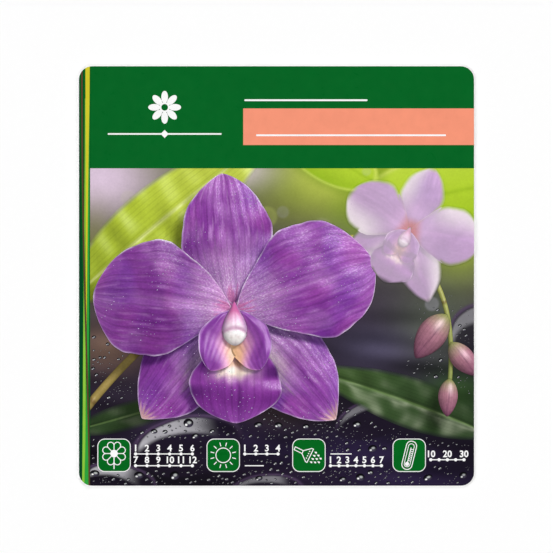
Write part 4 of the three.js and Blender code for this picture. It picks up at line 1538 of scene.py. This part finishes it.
def pale_rim(colour, relief, width):
    """A thin pale edge that comes and goes."""
    edge = edge_distance(relief) / relief["blade"]["size"]
    strength = 0.25 + 0.5 * smooth(ripples(relief["plan"], 7, 31), -0.4, 0.9)
    return mix(colour, "e6d4ee", strength * np.exp(-(edge / width) ** 2))


def along_grain(relief, across, along, seed):
    """Smooth noise drawn out along the ribs of a blade."""
    blade, u, v = relief["blade"], relief["u"], relief["v"]
    rib, run = fan(blade, u, v) * blade["width"] / 2, u * blade["length"]
    return ripples(np.stack([rib, run * across / along], -1) / blade["size"], across, seed)


print("Strength of a shadow's red, green and blue:", VIOLET_SHADE)

# %% [markdown]
# A tepal is pale pink at its foot and violet beyond. Its hue drifts over broad patches towards lilac,
# magenta and blue, and streaks run along its grain, paler and darker. The lateral sepals also have a cream
# inner half near the lip and a peach tip.

# %% Paint of the tepals
STRAIGHT_DOWN = 270
# Each drift: its colour, its strength, the size of its patches, the noise at which it is full, and its seed.
HUE_DRIFTS = (("a367b4", 0.5, 9, 1.2, 3), ("ae4fae", 0.26, 12, 1.1, 13), ("6233a4", 0.28, 14, 1.1, 29))
# How strong a tepal's pale streaks and its pale foot are, and how far the foot reaches.
TEPAL_PAINTS = {"sepal": {"streaks": 0.42, "foot": 0.62, "foot_end": 0.6},
                "petal": {"streaks": 0.26, "foot": 0.5, "foot_end": 0.45}}


def tepal_paint(relief, lateral):
    blade, u, v = relief["blade"], relief["u"], relief["v"]
    paint = TEPAL_PAINTS[blade["slot"]]
    colour = ramp(u, (0, "cc8cbc"), (0.06, "a856a8"), (0.18, "843c96"), (0.5, "7a3290"), (0.8, "883f9c"),
                  (1, "9c58ac"))
    for code, strength, size, full, seed in HUE_DRIFTS:
        colour = mix(colour, code, strength * smooth(ripples(relief["plan"], size, seed), 0.0, full))
    # The left petal is printed darker beyond its foot: a painted shade, as if it were turned away from the
    # lamp.
    colour = colour * (1 - blade.get("painted_shade", 0) * smooth(u, 0.1, 0.5))[..., None]
    side = v * fullness(blade, u) * blade["width"] / 2 / blade["size"]
    midrib = np.exp(-((side - 0.3 * np.sin(9 * u)) / 0.9) ** 2)
    colour = mix(colour, "c98fd0", 0.45 * (midrib * smooth(u, 0.02, 0.12) * (1 - smooth(u, 0.1, 0.85))))
    seed = 7 + round(blade["turn"])
    streaks = 0.7 * along_grain(relief, 1.5, 11, seed) + 0.5 * along_grain(relief, 0.7, 4, seed + 1)
    colour = mix(colour, "bb86c8", paint["streaks"] * smooth(streaks, 0.1, 1.3) * smooth(u, 0.05, 0.3))
    colour = mix(colour, "5e2078", 0.24 * smooth(-streaks, 0.2, 1.3))
    reach = u + 0.05 * streaks + 0.1 * v ** 2
    colour = mix(colour, "d8a8de", paint["foot"] * (1 - smooth(reach, 0.08, paint["foot_end"])))
    colour = mix(colour, "c8609e", 0.7 * (1 - smooth(reach, 0.03, 0.12)))
    if lateral:
        colour = mix(colour, "dcb09c", 0.8 * smooth(u + 0.02 * np.cos(17 * v), 0.9, 1.0))
        inner = smooth(v * np.sign(STRAIGHT_DOWN - blade["turn"]), -0.3, 0.7)
        colour = mix(colour, "efe2cc", 0.8 * inner * (1 - smooth(reach, 0.34, 0.7)))
    return under_light(pale_rim(colour, relief, 0.24), relief, "d8b8ea", 0.28, 1.25, VIOLET_SHADE)


print("Mean paint of the left petal:",
      tepal_paint(reliefs["near_bloom", "left_petal"], False).mean((0, 1)).round(3))

# %% [markdown]
# The lip's throat is peach and ends in a cream crest, and beyond it the lip is violet, with two dark
# streaks. Its side lobes run from peach inside to violet outside, with fine lines between. Light comes
# through them from behind, so they are never darker than half lit. The column has a pink back, a white cap
# and two faint eyes.

# %% Paint of the lip and the column
LOBE_LINES = 9
LOBE_GLOW = 0.5


def lip_paint(relief):
    u, v = relief["u"], relief["v"]
    side = np.abs(v)
    reach = u + 0.016 * np.cos(26 * v) * (0.4 + side) + 0.012 * ripples(relief["plan"], 3, 9) + 0.09 * v ** 2
    colour = ramp(u, (0, "863a98"), (0.6, "8c3f9e"), (0.8, "7c308e"), (1, "8c45a0"))
    colour = mix(colour, "c58ac4", 0.75 * (1 - smooth(reach, 0.54, 0.68)) * (1 - smooth(side, 0.35, 0.85)))
    colour = mix(colour, "e8b684", (1 - smooth(reach, 0.46, 0.56)) * (1 - smooth(side, 0.35, 0.75)))
    crest = np.exp(-((reach - 0.53) / 0.045) ** 2) * (1 - smooth(side, 0.2, 0.65))
    colour = mix(colour, "f3e2cc", 0.85 * crest)
    stain = np.exp(-((side - 0.1) / 0.05) ** 2) * smooth(u, 0.6, 0.7) * (1 - smooth(u, 0.72, 0.98))
    colour = mix(colour, "4c1a60", 0.45 * stain)
    return under_light(pale_rim(colour, relief, 0.26), relief, "e2c6f0", 0.3, 1.2, VIOLET_SHADE)


def lobe_paint(relief):
    u, t = relief["u"], outer(relief["blade"], relief["v"])
    reach = t + 0.5 * smooth(u, 0.55, 0.95)
    colour = ramp(reach, (0, "ecbb8a"), (0.22, "e4ae8e"), (0.42, "c98cb2"), (0.62, "9650a6"),
                  (0.85, "7f3896"), (1, "8a46a2"))
    colour = mix(colour, "cf6aa6", 0.6 * (1 - smooth(u, 0.1, 0.38)) * (1 - smooth(t, 0.5, 0.8)))
    lines = np.cos(2 * np.pi * LOBE_LINES * t) * smooth(t, 0.1, 0.3) * (1 - smooth(t, 0.5, 0.75))
    colour = mix(colour, "9c4a94", 0.25 * np.maximum(0, lines))
    rimmed = pale_rim(colour, relief, 0.2)
    glowing = {**relief, "light": np.maximum(relief["light"], LOBE_GLOW)}
    return under_light(mix(colour, rimmed, smooth(t, 0.4, 0.7)), glowing, "f0d8f0", 0.3, 1.1)


def column_paint(relief):
    side = np.abs(relief["v"])
    u = relief["u"] + relief["blade"]["bow"] * side ** 2
    # The darker stop at 0.61, where the cap meets the column, is a painted shadow in the notch between them.
    colour = ramp(u, (0, "c05a9c"), (0.2, "d070a6"), (0.36, "e0a8cc"), (0.52, "eed6e6"), (0.61, "d0a0c0"),
                  (0.68, "f6eef0"), (0.85, "fcf6f2"), (1, "ecdce4"))
    colour = mix(colour, "b074b4", 0.75 * smooth(side, 0.5, 1) * (1 - smooth(u, 0.5, 0.66)))
    # All along the column, its sides are painted darker towards the edge: painted shade on its round.
    colour = mix(colour, "b99cc0", 0.5 * smooth(side, 0.7, 1))
    eyes = np.exp(-(((side - 0.3) / 0.14) ** 2 + ((u - 0.8) / 0.03) ** 2))
    return under_light(mix(colour, "c4a8a8", 0.45 * eyes), relief, "ffffff", 0.22, 1.0)


print("Mean paint of the column:", column_paint(reliefs["near_bloom", "column"]).mean((0, 1)).round(3))

# %% [markdown]
# The far bloom has the same paints, but paler. Out of focus, its edges melt into the backdrop. A blur would
# need the whole picture as an image, but a fade to the backdrop's own colour at each edge looks the same.

# %% Paint of the far bloom
FAR_SOFTNESS = 1.1


def far_paint(relief, colour, under):
    """Paler, and melted into the backdrop at its edges, but hardly where it lies over another part."""
    u, v = relief["u"], relief["v"]
    colour = mix(colour, "e6d0e6", 0.52)
    if relief["blade"].get("slot") in ("sepal", "petal"):
        # One side of each far tepal is painted paler towards its tip: a painted highlight.
        colour = mix(colour, "f6ecee", 0.75 * smooth(v, -0.1, 0.9) * smooth(u, 0.15, 0.6))
        colour = mix(colour, "c8703e", 0.55 * (1 - smooth(u, 0.04, 0.2)))
    over_others = sum(inside(other["blade"], relief["plan"]) for other in under) > 0
    melt = 0.95 * (1 - smooth(edge_distance(relief), 0, FAR_SOFTNESS)) * smooth(u, 0.04, 0.16)
    return mix(colour, backdrop(relief["plan"]), np.where(over_others, 0.1, 1) * melt)


# %% [markdown]
# The parts lie on one another as they do in a real bloom: the foot and the sepals lowest, then the petals,
# the lip with its side lobes, and the column on top. A press prints them as one layer, but most of them stand
# for a solid of their own, so each is a film of its own, which reaches down to the ground's face. Where two
# films of one layer overlap, one is pressed a step lower, so that their faces don't meet at one height.


# %% Print the blooms
FILM_STEP = 0.012


def paint_of(part, relief):
    """The paint of a bloom's part and its material."""
    if part == "lip":
        return lip_paint(relief), LIP_INK
    if part == "column":
        return column_paint(relief), PLAIN_INK
    if part == "foot":
        return under_light(linear("b0609c"), relief, "ffffff", 0.1), PLAIN_INK
    if "lobe" in part:
        return lobe_paint(relief), PLAIN_INK
    return tepal_paint(relief, "lateral" in part), PETAL_INK


def frost_of(part, relief, slot):
    """A little frost everywhere, more where light glances off and at a tepal's foot, none in a throat."""
    frost = 0.25 + 0.75 * smooth(relief["sheen"], 0.05, 0.6)
    if part in TEPALS:
        return np.maximum(frost, 1 - smooth(relief["u"], 0.1, 0.6)) * (1.0 if slot == "sepal" else 0.8)
    return frost * smooth(relief["u"], 0.5, 0.66) if part == "lip" else frost


def print_part(bloom, part, slot, layer, nodes, drop=0.0):
    relief = reliefs[bloom, part]
    paint, material = paint_of(part, relief)
    if bloom == "far_bloom":
        under = [] if "sepal" in part else [reliefs[bloom, other] for other in printed[bloom]]
        paint, material = far_paint(relief, paint, under), FAR_INK
    printed[bloom].append(part)
    paint = with_frost(paint, frost_of(part, relief, slot))
    print_film(f"{bloom}_{part}", relief, paint, layer, material, nodes, drop)


printed = {bloom: [] for bloom in BLOOMS}
for bloom in BLOOMS:
    print_part(bloom, "foot", "column", 3, [], FILM_STEP)
    for part, tepal in TEPALS.items():
        print_part(bloom, part, tepal["slot"], tepal["layer"], [f"{bloom}_{part}"])
    print_part(bloom, "lip", "lip", 5, [f"{bloom}_lip"], 2 * FILM_STEP)
    print_part(bloom, "lip_left_lobe", "lip", 5, [], FILM_STEP)
    print_part(bloom, "lip_right_lobe", "lip", 5, [])
    print_part(bloom, "column", "column", 6, [f"{bloom}_column"])

# %% [markdown]
# ## Water droplets
#
# The slate is wet, and fine dew lies on the near bloom. The droplets may only lie where the face is open, so
# rays are first cast straight down on a grid. The films' outlines could tell the same, but the rays also see
# whatever is printed over them, such as a tile. A cell counts as open if everything about it is hit at the
# level asked for.


# %% Open cells
CELLS = {"pitch": 0.5, "least_wetness": 0.01, "ray_height": 10.0, "tolerance": 0.001}


def open_cells(level, margin, wet):
    """The open cells at a level as a mesh that carries how wet each point is."""
    view = bpy.context.evaluated_depsgraph_get()
    plan = grid_plan(PICTURE_LEFT, BOTTOM, RIGHT, PICTURE_TOP, CELLS["pitch"])
    wetness = wet(plan)
    free = wetness > CELLS["least_wetness"]
    for i, j in zip(*np.nonzero(free)):
        above = Vector((*plan[i, j] * MM, CELLS["ray_height"] * MM))
        hit, where, *_ = scene.ray_cast(view, above, Vector((0, 0, -1)))
        free[i, j] = hit and abs(where.z / MM - level) < CELLS["tolerance"]
    for _ in range(margin):
        wide = np.pad(free, 1)
        free = free & wide[:-2, 1:-1] & wide[2:, 1:-1] & wide[1:-1, :-2] & wide[1:-1, 2:]
    whole = free[:-1, :-1] & free[1:, :-1] & free[1:, 1:] & free[:-1, 1:]
    used, cells = np.unique(quads(*free.shape)[whole.ravel()], return_inverse=True)
    mesh = bpy.data.meshes.new("open cells")
    points = np.column_stack([plan.reshape(-1, 2)[used], np.full(len(used), level)])
    mesh.from_pydata(points.tolist(), [], cells.reshape(-1, 4).tolist())
    wet_points = mesh.attributes.new("Wet", "FLOAT", "POINT")
    wet_points.data.foreach_set("value", wetness.ravel()[used].astype(np.float32))
    return mesh


print("Cells in a square millimetre:", round(1 / CELLS["pitch"] ** 2))

# %% [markdown]
# Geometry Nodes scatter the droplets over the open cells. A loop could place them too, but the node keeps
# them a least distance apart and thins them out where the slate is drier. Each droplet is an oval disc of a
# few sides: most are small and a few are large, and each is narrowed and turned a little. The disc keeps its
# own plan as an attribute, and each copy gets how strongly it glints.


# %% Droplet tree
DROPLET = {"crowding": 2.0, "rarity": 2.2, "narrow": (0.62, 0.9), "turn": (-0.3, 0.3), "glint": (0.6, 1.0),
           "sides": 14, "thickness": 0.012}


def random_value(tree, low, high, seed):
    """A random number. The node's sockets 2 and 3 are the limits for its float mode."""
    return add_node(tree, "FunctionNodeRandomValue", {2: low, 3: high, "Seed": seed}).outputs[1]


def droplet_tree():
    tree, given, end = geometry_tree("Scattered droplets", Copy="Object", Spacing="Float", Smallest="Float",
                                     Largest="Float", Seed="Int", Ink="Material")
    wet = add_node(tree, "GeometryNodeInputNamedAttribute", {"Name": "Wet"}, data_type="FLOAT").outputs[0]
    crowding = calculate(tree, "DIVIDE", DROPLET["crowding"], calculate(tree, "POWER", given["Spacing"], 2.0))
    spread_out = {"Mesh": given["Geometry"], "Distance Min": given["Spacing"], "Density Max": crowding,
                  "Density Factor": wet, "Seed": given["Seed"]}
    scatter = add_node(tree, "GeometryNodeDistributePointsOnFaces", spread_out, distribute_method="POISSON")
    extra = calculate(tree, "POWER", random_value(tree, 0.0, 1.0, 1), DROPLET["rarity"])
    spread = calculate(tree, "SUBTRACT", given["Largest"], given["Smallest"])
    radius = calculate(tree, "MULTIPLY_ADD", extra, spread, given["Smallest"])
    narrow = calculate(tree, "MULTIPLY", radius, random_value(tree, *DROPLET["narrow"], 2))
    size = add_node(tree, "ShaderNodeCombineXYZ", {"X": radius, "Y": narrow, "Z": 1.0}).outputs[0]
    turn = add_node(tree, "ShaderNodeCombineXYZ", {"Z": random_value(tree, *DROPLET["turn"], 3)}).outputs[0]
    disc = add_node(tree, "GeometryNodeObjectInfo", {"Object": given["Copy"]}).outputs["Geometry"]
    place = add_node(tree, "GeometryNodeInputPosition").outputs[0]
    dome = {"Geometry": disc, "Name": "Dome", "Value": place}
    marked = add_node(tree, "GeometryNodeStoreNamedAttribute", dome, data_type="FLOAT_VECTOR").outputs[0]
    copies = add_node(tree, "GeometryNodeInstanceOnPoints", {
        "Points": scatter.outputs["Points"], "Instance": marked, "Rotation": turn, "Scale": size}).outputs[0]
    glint = {"Geometry": copies, "Name": "Glint", "Value": random_value(tree, *DROPLET["glint"], 4)}
    glinting = add_node(tree, "GeometryNodeStoreNamedAttribute", glint, data_type="FLOAT",
                        domain="INSTANCE").outputs[0]
    plain = add_node(tree, "GeometryNodeRealizeInstances", {"Geometry": glinting}).outputs[0]
    inked = add_node(tree, "GeometryNodeSetMaterial", {"Geometry": plain, "Material": given["Ink"]})
    tree.links.new(inked.outputs[0], end.inputs["Geometry"])
    return tree


DROPLETS = droplet_tree()
print("Tree:", DROPLETS.name, len(DROPLETS.nodes), "nodes")

# %% [markdown]
# A droplet is a small lens. It is darker than what it lies on, with a glow where the light gathers in it, a
# soft pale window where it mirrors the sky, and one bright spark. Real domes of water would show all that by
# themselves, but this is the picture of a droplet, so it is painted on its flat disc. The shader reads the
# disc's own plan, in which the rim is 1 from the middle.


# %% Droplet materials
# Each spot: its middle and its two radii, as shares of the droplet's, and how far it is full and how far it
# reaches, as shares of its own.
GLOW = (0.1, -0.5, 1, 1, 0.2, 1.1)
WINDOW = (0.16, 0.06, 0.46, 0.4, 0.5, 1.1)
SPARK = (-0.45, -0.42, 0.3, 0.3, 0.5, 1.1)


def blend(tree, share, under, code):
    """A colour laid over another in a share."""
    colours = {0: share, 6: under if isinstance(under, bpy.types.NodeSocket) else rgba(linear(under)),
               7: rgba(linear(code))}
    return add_node(tree, "ShaderNodeMix", colours, data_type="RGBA").outputs[2]


def spot(tree, dome, x, y, wide, high, full, reach):
    """1 within an oval, falling to 0 at its reach."""
    scale = {0: dome, 1: (1 / wide, 1 / high, 0)}
    scaled = add_node(tree, "ShaderNodeVectorMath", scale, operation="MULTIPLY").outputs[0]
    apart = {0: scaled, 1: (x / wide, y / high, 0)}
    away = add_node(tree, "ShaderNodeVectorMath", apart, operation="DISTANCE").outputs["Value"]
    fade = {"Value": away, "From Min": full, "From Max": reach, "To Min": 1.0, "To Max": 0.0}
    return add_node(tree, "ShaderNodeMapRange", fade).outputs["Result"]


def droplet_material(name, dark, light, window):
    material, tree, surface = new_material(name, INK_ROUGHNESS, GLOSS)
    dome = add_node(tree, "ShaderNodeAttribute", attribute_name="Dome").outputs["Vector"]
    glint = add_node(tree, "ShaderNodeAttribute", attribute_name="Glint").outputs["Fac"]
    colour = blend(tree, spot(tree, dome, *GLOW), dark, light)
    for form, code in ((WINDOW, window), (SPARK, "ffffff")):
        colour = blend(tree, calculate(tree, "MULTIPLY", spot(tree, dome, *form), glint), colour, code)
    tree.links.new(colour, surface.inputs["Base Color"])
    return material


WATER_INK = droplet_material("Water on slate", "07060a", "3f394b", "b4b8b6")
DEW_INK = droplet_material("Dew on petals", "5c2a78", "b488c8", "f4eafa")
print("Droplet materials:", WATER_INK.name, "and", DEW_INK.name)

# %% [markdown]
# How wet the face is decides how densely the droplets lie. The slate is wettest low down and at both sides,
# and dry where it is out of focus, where a sharp droplet would look wrong. It is also kept dry under the
# numbers, so that they stay easy to read. The dew lies in patches on the near bloom.


# %% Wetness
NUMBER_MARGIN = {"side": 0.6, "below": 0.4, "above": 0.3}
DEW_RADIUS = 36


def clear_of_numbers(plan):
    """0 where numbers are printed, and 1 elsewhere."""
    x, y = plan[..., 0], plan[..., 1]
    clear = np.ones(x.shape)
    for tile, level, length, _, numbers in SCALES.values():
        left, low = TILE_X[tile] + TILE["size"] / 2 + SCALE["gap"], TILE["y"] + level
        high = low + FIGURE["lift"] + FIGURE["height"]
        beside = (x > left - NUMBER_MARGIN["side"]) & (x < left + length + NUMBER_MARGIN["side"])
        level_with = (y > low - NUMBER_MARGIN["below"]) & (y < high + NUMBER_MARGIN["above"])
        if numbers:
            clear[beside & level_with] = 0
    return clear


def slate_wet(plan):
    x, y = plan[..., 0], plan[..., 1]
    right, left = smooth(x, 26, 40) * smooth(-y, 2, 16), smooth(-x, 30, 40) * smooth(-y, 8, 20)
    wet = np.clip(smooth(-y, 20, 38) + 0.6 * right + 0.5 * left, 0, 1)
    return wet * (0.35 + 0.65 * smooth(ripples(plan, 14, 41), -0.6, 0.5)) * clear_of_numbers(plan)


def dew_wet(plan):
    bloom = BLOOMS["near_bloom"]
    near = np.hypot(plan[..., 0] - bloom["x"], plan[..., 1] - bloom["y"]) < DEW_RADIUS
    return near * smooth(ripples(plan, 15, 17), -0.2, 0.9)


print("Mean wetness of the slate and of the bloom:", *(round(float(wet(ground).mean()), 3)
                                                       for wet in (slate_wet, dew_wet)))

# %% [markdown]
# The largest droplets come first. The smaller ones then find their places between them, because the rays no
# longer reach the slate where a droplet lies.


# %% Scatter the droplets
# Each row: the least distance between droplets, the smallest and the largest radius, and the clear margin.
SLATE_DROPLETS = {"large": (2.4, 0.5, 1.2, 2), "middle": (0.95, 0.2, 0.5, 1), "small": (0.5, 0.09, 0.18, 1)}
DEW = (0.75, 0.07, 0.2, 1)
SLATE_SEED, DEW_SEED = 5, 9


def scatter(name, level, wet, slot, ink, sizes, seed):
    spacing, smallest, largest, margin = sizes
    disc = mesh_of("disc", slab(ellipse((0, 0), 1, 1, count=DROPLET["sides"]), 0, DROPLET["thickness"]))
    mesh = run_tree(DROPLETS, open_cells(level, margin, wet), disc, Spacing=spacing, Smallest=smallest,
                    Largest=largest, Seed=seed, Ink=ink)
    make_piece(name, mesh)


for name, sizes in SLATE_DROPLETS.items():
    scatter(f"slate_droplets_{name}", layer_levels(1)[1], slate_wet, "picture_ground", WATER_INK, sizes,
            SLATE_SEED)
for part, layer, drop in (("petal", 4, 0), ("sepal", 3, 0), ("lip", 5, 2 * FILM_STEP)):
    scatter(f"{part}_dew", layer_levels(layer)[1] - drop, dew_wet, part, DEW_INK, DEW, DEW_SEED + layer)
